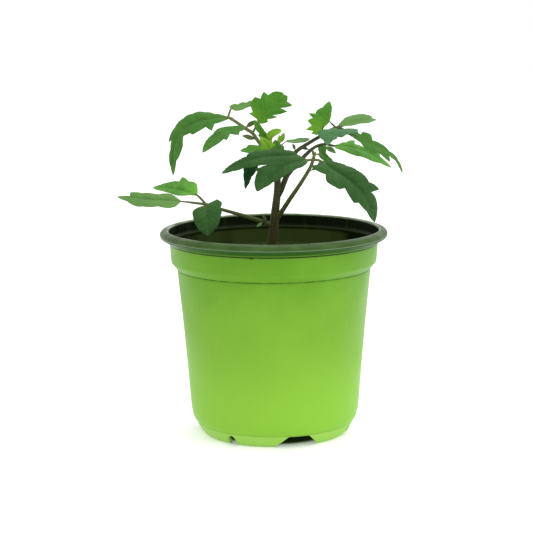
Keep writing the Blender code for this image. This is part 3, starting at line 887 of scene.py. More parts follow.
def dress_in(obj: bpy.types.Object, *finishes: object) -> None:
    """Gives an object its finishes, in the order of its faces' material numbers.

    Args:
        obj: the object.
        finishes: its finishes.
    """
    obj.data.materials.clear()
    for finish in finishes:
        obj.data.materials.append(material_of(finish))


def stand_for(piece: bpy.types.Object, slot: Slot, *nodes: str) -> None:
    """Makes a piece ride on the plant's one body in place of its solids.

    Args:
        piece: the finished piece.
        slot: the record's slot for the piece; not used.
        nodes: the solids that it stands for.
    """
    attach(piece, "root")
    if nodes:
        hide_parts(*nodes)
    log.info("%s: %d faces", piece.name, len(piece.data.polygons))


# Pot


@dataclass
class NurseryPot:
    """A two-colour moulded pot: lime outside, olive inside and over its rolled rim.

    Heights and radii are in millimetres. The rim's radius and the pot's height come from the frame.
    """

    wall: float = 1.2
    flats: int = 180
    rim_step: tuple[Share, ...] = ((-7.5, -7.6), (-5.7, -6.6))
    rim_crest: tuple[Share, ...] = ((-5.6, -1.1), (-4.7, 0), (-3.2, -0.1), (-1.4, -0.7), (-0.2, -1.9),
                                    (0, -3.3))
    rim_under: tuple[Share, ...] = ((-0.5, -4.7), (-2.6, -5.9), (-4.7, -7.2), (-5.9, -8.1))
    collar_top: Share = (64.0, 118.2)
    collar_foot: Share = (63.2, 107.4)
    shoulder: Share = (62.3, 106.2)
    body_top: Share = (59.7, 103.0)
    belly: tuple[Share, ...] = ((54.3, 46.1), (56.5, 71.2))
    body_foot: Share = (51.9, 15.6)
    foot_neck: Share = (50.6, 10.5)
    ledge: Share = (48.5, 7.4)
    foot_curve: tuple[Share, ...] = ((47.3, 4.6), (45.6, 1.7))
    foot_radius: float = 43.5
    foot_inside: tuple[Share, ...] = ((42.2, 0), (43.6, 3.0), (45.2, 5.8))
    floor_under: float = 8.6
    floor_over: float = 9.8
    panel_radius: float = 46.0
    floor_radius: float = 47.5
    well_radius: float = 12.0
    wide_notch: Point = (13.3, 28.0, 7.2)
    wide_notches: tuple[float, ...] = (-72.8, 47.2, 167.2)
    small_notch: Share = (5.3, 6.2)
    small_notches: tuple[float, ...] = (-124.5, -18.5, 107.2)
    notch_reach: float = 35.0
    slot_size: Share = (12.0, 5.0)
    slot_radius: float = 42.5

    def __post_init__(self) -> None:
        """Takes the outer sizes from the frame."""
        _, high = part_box("pot")
        self.rim = high.x / MM
        self.top = high.z / MM

    def outside(self) -> list[Point]:
        """Gives the profile from the middle of the underside up to the root of the lip.

        Returns:
            Radius, height and rounding of each corner.
        """
        return [
            (0, 0, 0),
            (self.well_radius, 0, 0.8),
            (self.well_radius + 2.0, self.floor_under, 1.0),
            (self.panel_radius, self.floor_under, 0.5),
            *((r, z, 0.6) for r, z in reversed(self.foot_inside)),
            (self.foot_radius, 0, 0.5),
            *((r, z, 1.6) for r, z in reversed(self.foot_curve)),
            (self.ledge[0] + 0.1, self.ledge[1], 0.15),
            (self.ledge[0] + 0.5, self.ledge[1] + 0.6, 0.3),
            (*self.foot_neck, 1.0),
            (*self.body_foot, 1.6),
            *((r, z, 3) for r, z in self.belly),
            (self.body_top[0] - 0.15, self.body_top[1] - 1.0, 0.5),
            (self.body_top[0] - 0.35, self.body_top[1] + 0.1, 0.15),
            (self.body_top[0] + 0.35, self.body_top[1] + 0.5, 0.3),
            (*self.shoulder, 0.9),
            (*self.collar_foot, 0.9),
            (*self.collar_top, 0.4),
        ]

    def lip(self) -> list[Point]:
        """Gives the profile of the rolled rim, from under it on the outside over to its inner step."""
        turned = [*reversed(self.rim_under), *reversed(self.rim_crest), *reversed(self.rim_step)]
        return [(self.rim + r, self.top + z, 0.45) for r, z in turned]

    def inside(self) -> list[Point]:
        """Gives the profile from the rim's inner step down the wall to the middle of the floor.

        Returns:
            Radius, height and rounding of each corner.
        """
        wall = self.wall
        return [
            (self.collar_top[0] - wall, self.collar_top[1] + wall, 0.3),
            (self.collar_foot[0] - wall, self.collar_foot[1] + wall, 1.0),
            (self.body_top[0] - wall, self.body_top[1], 1.2),
            (self.body_foot[0] - wall, self.body_foot[1], 2.0),
            (self.floor_radius, self.floor_over, 1.0),
            (self.well_radius + wall, self.floor_over, 1.0),
            (self.well_radius - wall, wall, 1.0),
            (0, wall, 0),
        ]

    def prism(self, name: str, outline: Sequence[Share], radii: Share, angle: float) -> bpy.types.Object:
        """Makes a cutter that runs out across the foot.

        Args:
            name: the cutter's name.
            outline: the corners of its section, as sideways and height.
            radii: where it starts and ends, out from the axis.
            angle: its turn about the axis, in degrees.

        Returns:
            The cutter.
        """
        bpy.ops.mesh.primitive_circle_add(vertices=len(outline), radius=MM, fill_type="NGON")
        cutter = bpy.context.object
        cutter.name = name
        for vertex, (sideways, height) in zip(cutter.data.vertices, outline):
            vertex.co = (MM * radii[0], MM * sideways, MM * height)
        bpy.ops.object.mode_set(mode="EDIT")
        bpy.ops.mesh.select_all(action="SELECT")
        reach = MM * (radii[1] - radii[0])
        bpy.ops.mesh.extrude_region_move(TRANSFORM_OT_translate={"value": (reach, 0, 0)})
        turn_outwards()
        cutter.data.transform(Matrix.Rotation(radians(angle), 4, "Z"))
        return cutter

    def cutters(self) -> list[bpy.types.Object]:
        """Makes the cutters of the notches and of the drain slots.

        Returns:
            The cutters.
        """
        top, foot, height = self.wide_notch
        spread = 0.5 * foot + 0.5 * (foot - top) / height
        wide = [(-spread, -1), (spread, -1), (top / 2 + 0.5, height - 0.6), (top / 2 - 0.4, height),
                (-top / 2 + 0.4, height), (-top / 2 - 0.5, height - 0.6)]
        half = self.small_notch[0] / 2
        spring = self.small_notch[1] - half
        small = [(-half, -1.0), (half, -1.0)]
        small += [(half * cos(a), spring + half * sin(a)) for a in np.linspace(0, pi, 13)]
        length, width = self.slot_size
        low, high = self.floor_under - 1, self.floor_over + 1
        slot = [(-length / 2, low), (length / 2, low), (length / 2, high), (-length / 2, high)]
        across = (self.slot_radius - width / 2, self.slot_radius + width / 2)
        out = (self.notch_reach, self.rim)
        found = [self.prism("wide_notch", wide, out, angle) for angle in self.wide_notches]
        found += [self.prism("drain_slot", slot, across, angle) for angle in self.wide_notches]
        found += [self.prism("small_notch", small, out, angle) for angle in self.small_notches]
        return found

    def build(self) -> bpy.types.Object:
        """Turns the pot, cuts its notches and slots, and dresses it.

        Returns:
            The pot.
        """
        profile = rounded(self.outside() + self.lip() + self.inside())
        pot = lathe("nursery_pot", profile, self.flats)
        smooth(pot, 38)
        dress_in(pot, LIME, RIM, SHADED_INSIDE)
        for cutter in self.cutters():
            cut = pot.modifiers.new(cutter.name, "BOOLEAN")
            cut.operation = "DIFFERENCE"
            cut.solver = "EXACT"
            cut.object = cutter
            finish_modifiers(pot)
            bpy.data.objects.remove(cutter)
        self.split_colours(pot)
        return pot

    def split_colours(self, pot: bpy.types.Object) -> None:
        """Turns the rim and the inside olive.

        Args:
            pot: the pot's mesh.
        """
        inner = np.array([(z, r) for r, z, _ in reversed(self.inside())])
        rim_foot = self.top + self.rim_crest[-1][1] - 0.6
        step_foot = self.top + self.rim_step[0][1] - 0.8
        step_edge = self.rim + self.rim_step[1][0] + 0.6
        for face in pot.data.polygons:
            x, y, z = (c / MM for c in face.center)
            radius = (x * x + y * y) ** 0.5
            limit = float(np.interp(z, inner[:, 0], inner[:, 1])) + 0.45 * self.wall
            crest = z > rim_foot and (radius > self.rim + self.rim_crest[0][0] + 0.05 or z > self.top - 1.2)
            upright = z > step_foot and radius < step_edge
            face.material_index = 1 if crest else int(radius < limit or upright) * 2


@dataclass
class WallCrumbs:
    """Crumbs of compost that cling to the pot."""

    spots: tuple[tuple[float, float, float, float], ...] = (
        (-102.5, 118.9, 64.1, 1.0), (-101.3, 118.6, 63.9, 0.7), (-104.0, 118.7, 64.0, 0.6),
        (-110.0, 119.0, 64.1, 0.45), (-97.0, 118.9, 64.1, 0.4), (-92.0, 118.8, 64.0, 0.5),
        (-86.0, 118.9, 64.1, 0.5), (-88.5, 118.9, 64.1, 0.4), (-120.0, 119.0, 64.1, 0.4),
        (-78.0, 119.0, 64.1, 0.4), (-114.5, 22.0, 51.3, 0.45), (-138.0, 19.5, 51.1, 0.4),
        (-131.5, 15.2, 50.8, 0.45), (-88.8, 6.6, 47.9, 0.5), (-52.0, 13.6, 50.2, 0.5),
        (-96.5, 126.8, 65.9, 0.75), (-97.8, 126.8, 65.7, 0.5), (-72.0, 126.8, 65.9, 0.6),
        (-60.0, 126.8, 65.8, 0.4), (40.0, 118.9, 64.1, 0.6), (95.0, 118.9, 64.1, 0.5),
        (150.0, 60.0, 54.9, 0.5), (70.0, 30.0, 52.2, 0.5), (10.0, 118.8, 64.1, 0.6),
    )

    def build(self) -> bpy.types.Object:
        """Sticks each crumb to the wall.

        Returns:
            The crumbs.
        """
        rng = np.random.default_rng(SEED)
        pattern = lump(rng, 2, (0.72, 1.15))
        places = []
        for angle, height, radius, size in self.spots:
            out = np.array((cos(radians(angle)), sin(radians(angle)), 0))
            place = MM * (radius * out + np.array((0, 0, height)))
            places.append(placed(place, out, rng.uniform(0, 6), (size, 0.7 * size, 0.45 * size)))
        crumbs = scatter("wall_crumbs", pattern, places)
        dress_in(crumbs, PEAT)
        return crumbs


# Compost


@dataclass
class Compost:
    """The compost that fills the pot, with crumbs, fibres and white grit lying on it.

    clear is how far the loose pieces stay from the stem and from the wall. Each is dropped from drop_height
    and stands out by lift, a share of its size. The higher smallness is, the more of them are small.
    """

    level: float = 98.0
    underside: tuple[Share, ...] = ((49.3, 16.2), (47.1, 10.1), (12.7, 10.1), (10.3, 1.5), (0, 1.5))
    flats: int = 144
    hole: float = 3.5
    hole_foot: float = 85.7
    lump_count: int = 190
    lump_span: float = 60
    lump_size: Share = (2, 9)
    lump_height: Share = (-0.8, 1.0)
    relief: float = 0.55
    grain: float = 0.18
    level_near: float = 14
    crumb_count: int = 900
    fibre_count: int = 90
    grit_count: int = 70
    clear: Share = (2, 3.5)
    drop_height: float = 120
    smallness: float = 2.2
    lift: float = 0.25
    rings: int = 34

    def __post_init__(self) -> None:
        """Takes the outer radius from the frame."""
        _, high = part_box("soil")
        self.radius = high.x / MM

    def body(self) -> bpy.types.Object:
        """Turns the body and roughens its top.

        Returns:
            The body of the compost.
        """
        across = np.linspace(self.hole, self.radius - 0.5, self.rings)
        profile = [(0, self.hole_foot), (self.hole, self.hole_foot)]
        profile += [(float(r), self.level) for r in across]
        profile += [(self.radius - 0.2, self.level - 1.2), *self.underside]
        soil = lathe("compost", profile, self.flats)
        rng = np.random.default_rng(SEED + 1)
        span = (-self.lump_span, self.lump_span)
        ranges = (span, span, self.lump_size, self.lump_height)
        lumps = [tuple(rng.uniform(*given) for given in ranges) for _ in range(self.lump_count)]
        for vertex in soil.data.vertices:
            x, y, z = (c / MM for c in vertex.co)
            if z < self.level - 0.5:
                continue
            rise = sum(h * np.exp(-((x - a) ** 2 + (y - b) ** 2) / (s * s)) for a, b, s, h in lumps)
            edge = min((x * x + y * y) ** 0.5 / self.level_near, 1)
            vertex.co.z += MM * (self.relief * rise * edge + rng.uniform(-self.grain, self.grain))
        smooth(soil, 60)
        dress_in(soil, PEAT)
        return soil

    def loose_pieces(self, soil: bpy.types.Object) -> bpy.types.Object:
        """Strews crumbs, fibres and grit over the compost.

        Args:
            soil: the body that they lie on.

        Returns:
            All the loose pieces as one.
        """
        rng = np.random.default_rng(SEED + 2)
        kinds = (("crumb", self.crumb_count, (0.45, 1.6), (1, 0.85, 0.7), PEAT),
                 ("fibre", self.fibre_count, (0.25, 0.45), (1, 1, 12), PEAT),
                 ("grit", self.grit_count, (0.5, 1.3), (1, 0.9, 0.8), PERLITE))
        strewn = []
        for name, count, sizes, shape, finish in kinds:
            pattern = lump(rng, 1, (0.7, 1.2))
            places = []
            while len(places) < count:
                x, y = rng.uniform(-self.radius, self.radius, 2)
                reach = (x * x + y * y) ** 0.5
                if not self.hole + self.clear[0] < reach < self.radius - self.clear[1]:
                    continue
                above = Vector(metres(x, y, self.drop_height))
                met, spot, _, _ = soil.ray_cast(above, Vector((0, 0, -1)))
                if not met:
                    continue
                size = sizes[0] + (sizes[1] - sizes[0]) * rng.random() ** self.smallness
                axis = unit(rng.normal(size=3) * (1, 1, 0.25 if name == "fibre" else 1))
                lift = Vector((0, 0, MM * self.lift * size))
                places.append(placed(spot + lift, axis, rng.uniform(0, 6), [size * s for s in shape]))
            pieces = scatter("loose_" + name, pattern, places)
            dress_in(pieces, finish)
            strewn.append(pieces)
        return join("compost_crumbs", strewn)


# Stem, stalks and hairs


class Stalk:
    """A tapering stalk that follows a smooth line.

    hair_lean is how far its hairs stray from upright and hair_root how deep they start, in millimetres.
    """

    hair_lean = 0.35
    hair_root = 0.06

    def __init__(self, points: Sequence[Point], radii: Sequence[float], spacing: float = 0.8) -> None:
        """Draws the stalk's line.

        Args:
            points: points that it passes through, in millimetres.
            radii: its radius at even shares of its length.
            spacing: the step between its rings.
        """
        rough = smooth_curve(points, 60)
        self.length = float(np.linalg.norm(np.diff(rough, axis=0), axis=1).sum())
        self.line = smooth_curve(points, max(6, int(self.length / spacing)))
        share = np.linspace(0, 1, len(self.line))
        self.radius = np.interp(share, np.linspace(0, 1, len(radii)), radii)

    def mesh(self, name: str, finish: object, smoothness: int = 4) -> bpy.types.Object:
        """Makes the stalk from a bevelled curve.

        Args:
            name: the new object's name.
            finish: its skin.
            smoothness: how round its section is.

        Returns:
            The stalk as a closed mesh.
        """
        curve = bpy.data.curves.new(name, "CURVE")
        curve.dimensions = "3D"
        curve.bevel_depth = MM
        curve.bevel_resolution = smoothness
        curve.use_fill_caps = True
        spline = curve.splines.new("POLY")
        spline.points.add(len(self.line) - 1)
        for spot, place, radius in zip(spline.points, self.line, self.radius):
            spot.co = (*(MM * place), 1)
            spot.radius = radius
        pick(put(name, curve))
        bpy.ops.object.convert(target="MESH")
        obj = bpy.context.object
        turn_outwards(merge=0.001)
        dress_in(obj, finish)
        smooth(obj, 60)
        return obj

    def hairs(self, per_mm: float, length: Share, rng: np.random.Generator) -> list[Matrix]:
        """Places hairs all over the stalk.

        Args:
            per_mm: hairs for each millimetre of its length.
            length: the shortest and the longest hair.
            rng: the draw of chances.

        Returns:
            The place of each hair.
        """
        tangents = unit(np.gradient(self.line, axis=0))
        places = []
        for _ in range(int(per_mm * self.length)):
            share = np.array([rng.random()])
            middle, ahead = along(self.line, share)[0], unit(along(tangents, share)[0])
            radius = float(np.interp(share[0], np.linspace(0, 1, len(self.radius)), self.radius))
            out = unit(np.cross(ahead, rng.normal(size=3)))
            lean = unit(out + self.hair_lean * rng.normal(size=3))
            long = rng.uniform(*length)
            foot = MM * (middle + out * (radius - self.hair_root))
            places.append(placed(foot, lean, 0, (1, 1, long)))
        return places


def hair_pattern() -> bpy.types.Object:
    """Models one short stiff hair, one millimetre long.

    Returns:
        The hair.
    """
    bpy.ops.mesh.primitive_cone_add(vertices=3, radius1=0.045 * MM, depth=MM, location=(0, 0, 0.5 * MM))
    pattern = bpy.context.object
    bpy.ops.object.transform_apply(location=True)
    return pattern


@dataclass
class MainStem:
    """The upright stem, brown at its foot, that carries all the stalks."""

    points: tuple[Point, ...] = ((0, 0, 86), (0, 0, 99), (-0.5, 0, 119), (1, 0, 136.5), (2.5, 1, 150.5),
                                 (2.5, 2, 166), (2, 1.5, 171.5))
    radii: tuple[float, ...] = (3.2, 3.2, 3.1, 2.8, 2.4, 2.0, 1.6)
    hairs_per_mm: float = 24.0
    hair_length: Share = (0.4, 0.9)

    def build(self) -> bpy.types.Object:
        """Makes the stem and its hairs.

        Returns:
            The stem.
        """
        rng = np.random.default_rng(SEED + 3)
        stalk = Stalk(self.points, self.radii)
        body = stalk.mesh("main_stem_skin", STEM, 7)
        places = stalk.hairs(self.hairs_per_mm, self.hair_length, rng)
        hairs = scatter("stem_hairs", hair_pattern(), places)
        dress_in(hairs, DOWN)
        return join("tomato_stem", [body, hairs])


# Leaves


@dataclass(frozen=True)
class Leaflet:
    """One blade: its midrib from base to tip by way of via, the way its upper side faces, and its outline.

    left and right hold the margin's corners, the teeth and the notches between them, from base to tip. Each
    is a share of the midrib's length along it and out from it. joint is the point of the stalk that carries
    the leaflet.
    """

    base: Point
    tip: Point
    face: Point
    left: tuple[Share, ...]
    right: tuple[Share, ...]
    via: tuple[Point, ...] = ()
    joint: Point = (0, 0, 0)
    tone: Tone = Tone.MID


@dataclass(frozen=True)
class Leaf:
    """A compound leaf: its stalk from the stem outwards, the stalk's end radii, and its leaflets."""

    name: str
    stalk: tuple[Point, ...]
    radii: Share
    leaflets: tuple[Leaflet, ...]
    slot: Slot = Slot.LEAF


class Midrib:
    """The line that a blade grows along, with the way across it and the way up at each place on it."""

    def __init__(self, leaflet: Leaflet) -> None:
        """Draws the midrib.

        Args:
            leaflet: the leaflet that it belongs to.
        """
        self.line = smooth_curve((leaflet.base, *leaflet.via, leaflet.tip), 41)
        self.length = float(np.linalg.norm(np.diff(self.line, axis=0), axis=1).sum())
        self.tangents = unit(np.gradient(self.line, axis=0))
        middle = len(self.line) // 2
        start = np.cross(unit(self.line[middle + 1] - self.line[middle - 1]), leaflet.face)
        onward = self.carried(self.tangents[middle:], start)
        back = self.carried(self.tangents[middle::-1], start)
        self.across = np.vstack([back[:0:-1], onward])
        self.up = np.cross(self.across, self.tangents)

    @staticmethod
    def carried(tangents: np.ndarray, side: np.ndarray) -> np.ndarray:
        """Carries the way across along a line without turning it about the line.

        Args:
            tangents: the line's directions.
            side: the way across at its start.

        Returns:
            The way across at each place.
        """
        found = []
        for tangent in tangents:
            side = unit(side - side @ tangent * tangent)
            found.append(side)
        return np.array(found)

    def place(self, flat: np.ndarray, lift: np.ndarray) -> np.ndarray:
        """Bends flat points of the blade into their place.

        Args:
            flat: how far along and how far across each point lies, in millimetres.
            lift: how far above the midrib's plane it stands.

        Returns:
            The points in space.
        """
        share = flat[:, 0] / self.length
        inside = np.clip(share, 0, 1)
        middle = along(self.line, inside)
        middle += ((share - inside) * self.length)[:, None] * along(self.tangents, inside)
        return middle + flat[:, 1:] * along(self.across, inside) + lift[:, None] * along(self.up, inside)


@dataclass
class Blade:
    """Makes one blade: a thin quilted sheet whose veins run to its teeth.

    tooth_least, long_edge, vein_roots, vein_apart and vein_least are shares of the midrib's length.
    row_step, jitter, edge_room and vein_room are shares of the mesh's spacing. A reach is a pair: what
    shrinks with the blade, and what is added to it.
    """

    leaflet: Leaflet
    seed: int
    spacing: float = 0.8
    thickness: float = 0.36
    fold: float = 8.0
    full_length: float = 40.0
    fullness: float = 0.07
    waver: float = 0.012
    waver_length: float = 2.4
    tooth_least: float = 0.03
    long_edge: float = 0.13
    vein_roots: Share = (0.03, 0.93)
    vein_slant: float = 0.85
    vein_apart: float = 0.075
    vein_least: float = 0.025
    vein_bend: Share = (0.36, 0.46)
    vein_stop: float = 0.93
    row_step: float = 0.866
    jitter: float = 0.08
    edge_room: float = 0.5
    vein_room: float = 0.45
    quilt: float = 0.32
    quilt_reach: Share = (1.7, 0.3)
    edge_reach: Share = (0.8, 0.1)
    arch: float = 0.05
    arch_edge_reach: Share = (4.5, 0.2)
    arch_rib_reach: Share = (2.5, 0.2)
    wave: float = 0.35
    wave_reach: Share = (6, 0.5)
    wave_steps: Share = (15, 13)
    groove: float = 0.16
    groove_width: float = 0.5

    def __post_init__(self) -> None:
        """Draws the midrib and scales the fine sizes to the blade."""
        self.rib = Midrib(self.leaflet)
        self.rng = np.random.default_rng(self.seed)
        self.scale = min(1.0, self.rib.length / self.full_length)
        self.spacing = max(0.35, self.spacing * (0.45 + 0.55 * self.scale))

    def sized(self, reach: Share) -> float:
        """Sizes a reach to the blade, in millimetres."""
        return reach[0] * self.scale + reach[1]

    def margin(self, corners: Sequence[Share]) -> np.ndarray:
        """Draws one half's margin: full between the teeth, sharp at them, and a little uneven.

        Args:
            corners: the margin's corners as shares, from base to tip.

        Returns:
            The margin in millimetres, from the base up to the tip, without its two ends.
        """
        line = self.rib.length * np.array([(0.0, 0.0), *corners, (1.0, 0.0)])
        drawn = []
        for a, b in zip(line, line[1:]):
            step = b - a
            long = float(np.linalg.norm(step))
            count = max(2, int(round(long / (0.8 * self.spacing))))
            share = np.arange(count)[:, None] / count
            outward = np.array((-step[1], step[0])) / max(long, 1e-6)
            full = self.fullness * max(step[0], 0) * 4 * share * (1 - share)
            waves = np.sin(2 * pi * share * max(1, round(long / self.waver_length)))
            uneven = self.waver * long * waves * self.rng.uniform(0.4, 1)
            drawn.append(a + share * step + (full + uneven) * outward)
        return np.vstack(drawn)[1:]

    def side_veins(self, corners: Sequence[Share]) -> list[np.ndarray]:
        """Draws one half's side veins, one to each tooth and some between.

        Args:
            corners: the margin's corners as shares.

        Returns:
            The veins in millimetres.
        """
        line = np.array([(0.0, 0.0), *corners, (1.0, 0.0)])
        ends = []
        for a, b, c in zip(line, line[1:], line[2:]):
            if turn_from(b - a, c - b) < 0 and b[1] > self.tooth_least:
                ends.append(b)
        for a, b in zip(line[1:], line[2:]):
            if np.linalg.norm(b - a) > self.long_edge:
                ends.append((a + b) / 2)
        ends.sort(key=lambda end: end[0] - 0.8 * end[1])
        veins, last = [], -1.0
        for t, w in ends:
            start = min(max(self.vein_roots[0], t - self.vein_slant * w), self.vein_roots[1])
            if start - last < self.vein_apart or w < self.vein_least:
                continue
            last = start
            onward, outward = self.vein_bend
            way = np.array([(start, 0), (start + onward * (t - start), outward * w), (t, w)])
            count = max(4, int(self.rib.length * np.linalg.norm(way[2] - way[0]) / self.spacing))
            share = np.linspace(0, self.vein_stop, count)[:, None]
            veins.append(self.rib.length * bow(*way, share))
        return veins

    def flat_plan(self) -> tuple[np.ndarray, list, np.ndarray, list[np.ndarray]]:
        """Lays the blade out flat.

        Returns:
            Its points, its triangles, its outline and its side veins.
        """
        mirror = np.array((1.0, -1.0))
        right = self.margin(self.leaflet.right)
        left = self.margin(self.leaflet.left) * mirror
        tip = np.array([(self.rib.length, 0.0)])
        outline = np.vstack([[(0.0, 0.0)], right, tip, left[::-1]])
        veins = self.side_veins(self.leaflet.right)
        veins += [vein * mirror for vein in self.side_veins(self.leaflet.left)]
        stations = int(self.rib.length / self.spacing) + 2
        midrib = np.stack([np.linspace(0, self.rib.length, stations), np.zeros(stations)], axis=1)
        low, high = outline.min(axis=0), outline.max(axis=0)
        step = self.spacing
        rows = []
        for k, y in enumerate(np.arange(low[1], high[1], step * self.row_step)):
            x = np.arange(low[0] + (k % 2) * step / 2, high[0], step)
            rows.append(np.stack([x, np.full(len(x), y)], axis=1))
        grid = np.vstack(rows)
        grid = grid + self.rng.uniform(-self.jitter, self.jitter, grid.shape) * step
        grid = grid[is_inside(grid, outline)]
        grid = grid[gap_to(grid, [np.vstack([outline, outline[:1]])]) > self.edge_room * step]
        grid = grid[gap_to(grid, [midrib, *veins]) > self.vein_room * step]
        points = [*outline, *midrib[1:-1]]
        count = len(outline)
        chain = [0, *range(count, count + len(midrib) - 2), 1 + len(right)]
        edges = list(zip(chain, chain[1:]))
        for vein in veins:
            keep = [p for p in vein[1:] if is_inside(p[None], outline)[0]]
            first = len(points)
            points += keep
            edges += [(i, i + 1) for i in range(first, first + len(keep) - 1)]
        points += list(grid)
        rim = [list(range(count))]
        spots, _, triangles, *_ = delaunay_2d_cdt([Vector(p) for p in points], edges, rim, 1, 1e-5)
        return np.array([tuple(p) for p in spots]), triangles, outline, veins

    def relief(self, flat: np.ndarray, outline: np.ndarray, veins: list[np.ndarray]
               ) -> tuple[np.ndarray, np.ndarray, np.ndarray]:
        """Works out how each point stands above the midrib's plane.

        Args:
            flat: the flat points.
            outline: the blade's outline.
            veins: its side veins.

        Returns:
            The lift, the gap to the nearest side vein and the gap to the midrib.
        """
        edge_gap = gap_to(flat, [np.vstack([outline, outline[:1]])])
        rib_gap = np.abs(flat[:, 1])
        vein_gap = gap_to(flat, veins) if veins else np.full(len(flat), 9.0)
        near = np.minimum(vein_gap, 1.3 * rib_gap) / (0.62 * self.sized(self.quilt_reach))
        quilting = self.quilt * self.scale * (1 - np.exp(-(near**2)))
        quilting *= 1 - np.exp(-edge_gap / self.sized(self.edge_reach))
        bowed = self.arch * self.rib.length * (1 - np.exp(-edge_gap / self.sized(self.arch_edge_reach)))
        bowed *= 1 - np.exp(-rib_gap / self.sized(self.arch_rib_reach))
        phase = self.rng.uniform(0, 6, 2)
        share = flat[:, 0] / self.rib.length
        right, left = (np.sin(step * share + start) for step, start in zip(self.wave_steps, phase))
        ripple = np.where(flat[:, 1] > 0, right, left)
        ripple *= self.wave * self.scale * np.minimum(rib_gap / self.sized(self.wave_reach), 1) ** 2
        groove = -self.groove * self.scale * np.exp(-((rib_gap / self.groove_width) ** 2))
        groove *= np.clip(1 - share, 0, 1)
        return rib_gap * tan(radians(self.fold)) + quilting + bowed + ripple + groove, vein_gap, rib_gap

    def build(self) -> bpy.types.Object:
        """Makes the blade.

        Returns:
            The blade, dressed on both sides.
        """
        flat, triangles, outline, veins = self.flat_plan()
        lift, vein_gap, rib_gap = self.relief(flat, outline, veins)
        points = self.rib.place(flat, lift)
        faces = []
        for a, b, c in triangles:
            faces.append((a, b, c) if turn_from(flat[b] - flat[a], flat[c] - flat[a]) < 0 else (a, c, b))
        mesh = bpy.data.meshes.new("blade")
        mesh.from_pydata((MM * points).tolist(), [], faces)
        for name, values in (("share", flat[:, 0] / self.rib.length), ("vein_gap", vein_gap),
                             ("rib_gap", rib_gap)):
            kept = mesh.attributes.new(name, "FLOAT", "POINT")
            kept.data.foreach_set("value", values.astype(np.float32))
        obj = put("blade", mesh)
        dress_in(obj, UPPER[self.leaflet.tone], UNDER)
        sheet = obj.modifiers.new("thickness", "SOLIDIFY")
        sheet.thickness = MM * self.thickness * (0.5 + 0.5 * self.scale)
        sheet.offset = 0
        sheet.material_offset = 1
        sheet.material_offset_rim = 0
        finish_modifiers(obj)
        smooth(obj, 55)
        return obj


PLAIN_LEFT = ((0.15, 0.14), (0.38, 0.25), (0.66, 0.2), (0.86, 0.09))
PLAIN_RIGHT = ((0.12, 0.13), (0.42, 0.24), (0.64, 0.2), (0.86, 0.09))


def small_leaflet(base: Point, tip: Point, joint: Point, tone: Tone = Tone.MID) -> Leaflet:
    """Describes a little plain leaflet, as grows between the large ones, and its joint."""
    return Leaflet(base, tip, (0.1, -0.8, 1), left=PLAIN_LEFT, right=PLAIN_RIGHT, joint=joint, tone=tone)


LEAF_A = Leaf(
    "leaf_a",
    ((1, 0, 129), (-2.5, -1.5, 130), (-8.5, -5, 132.5), (-18, -11, 136.5), (-30.5, -20, 141.5),
     (-40.5, -24, 145.5)),
    (1.35, 0.9),
    (
        Leaflet((-55.5, -25, 147.5), (-94, -24, 150.5), (0, -0.45, 1), via=((-74, -26, 148.5),),
                left=((0.08, 0.18), (0.19, 0.24), (0.35, 0.21), (0.47, 0.27), (0.56, 0.25), (0.63, 0.26),
                      (0.82, 0.12)),
                right=((0.08, 0.1), (0.14, 0.15), (0.36, 0.16), (0.63, 0.14), (0.82, 0.15), (0.81, 0.05)),
                joint=(-40.5, -24, 145.5), tone=Tone.PALE),
        Leaflet((-46, -20, 150.5), (-74, 2, 152.5), (0.1, -0.7, 1), via=((-59, -9, 152.5),),
                left=((0.11, 0.05), (0.22, 0.13), (0.43, 0.16), (0.72, 0.09)),
                right=((0.17, 0.2), (0.29, 0.26), (0.4, 0.25), (0.56, 0.31), (0.55, 0.19), (0.77, 0.17),
                       (0.89, 0.08)),
                joint=(-40.5, -24, 145.5), tone=Tone.BRIGHT),
        Leaflet((-40.5, -26, 145.5), (-39.5, -36, 128), (0, -1, 0.3), via=((-39.5, -33, 137.5),),
                left=((-0.04, 0.09), (-0.12, 0.33), (0.02, 0.46), (0.2, 0.41), (0.32, 0.43), (0.44, 0.39),
                      (0.56, 0.35), (0.68, 0.31), (0.85, 0.17)),
                right=((0.04, 0.09), (0.14, 0.33), (0.23, 0.41), (0.42, 0.41), (0.61, 0.37), (0.85, 0.22)),
                joint=(-40.5, -24, 145.5), tone=Tone.DEEP),
        small_leaflet((-4, -4, 132), (-7.5, -6.5, 136.5), (-5.5, -3, 131), Tone.OLIVE),
        small_leaflet((-7, -6.5, 131.5), (-10.5, -8, 129), (-8.5, -5, 132.5), Tone.PALE),
    ),
)

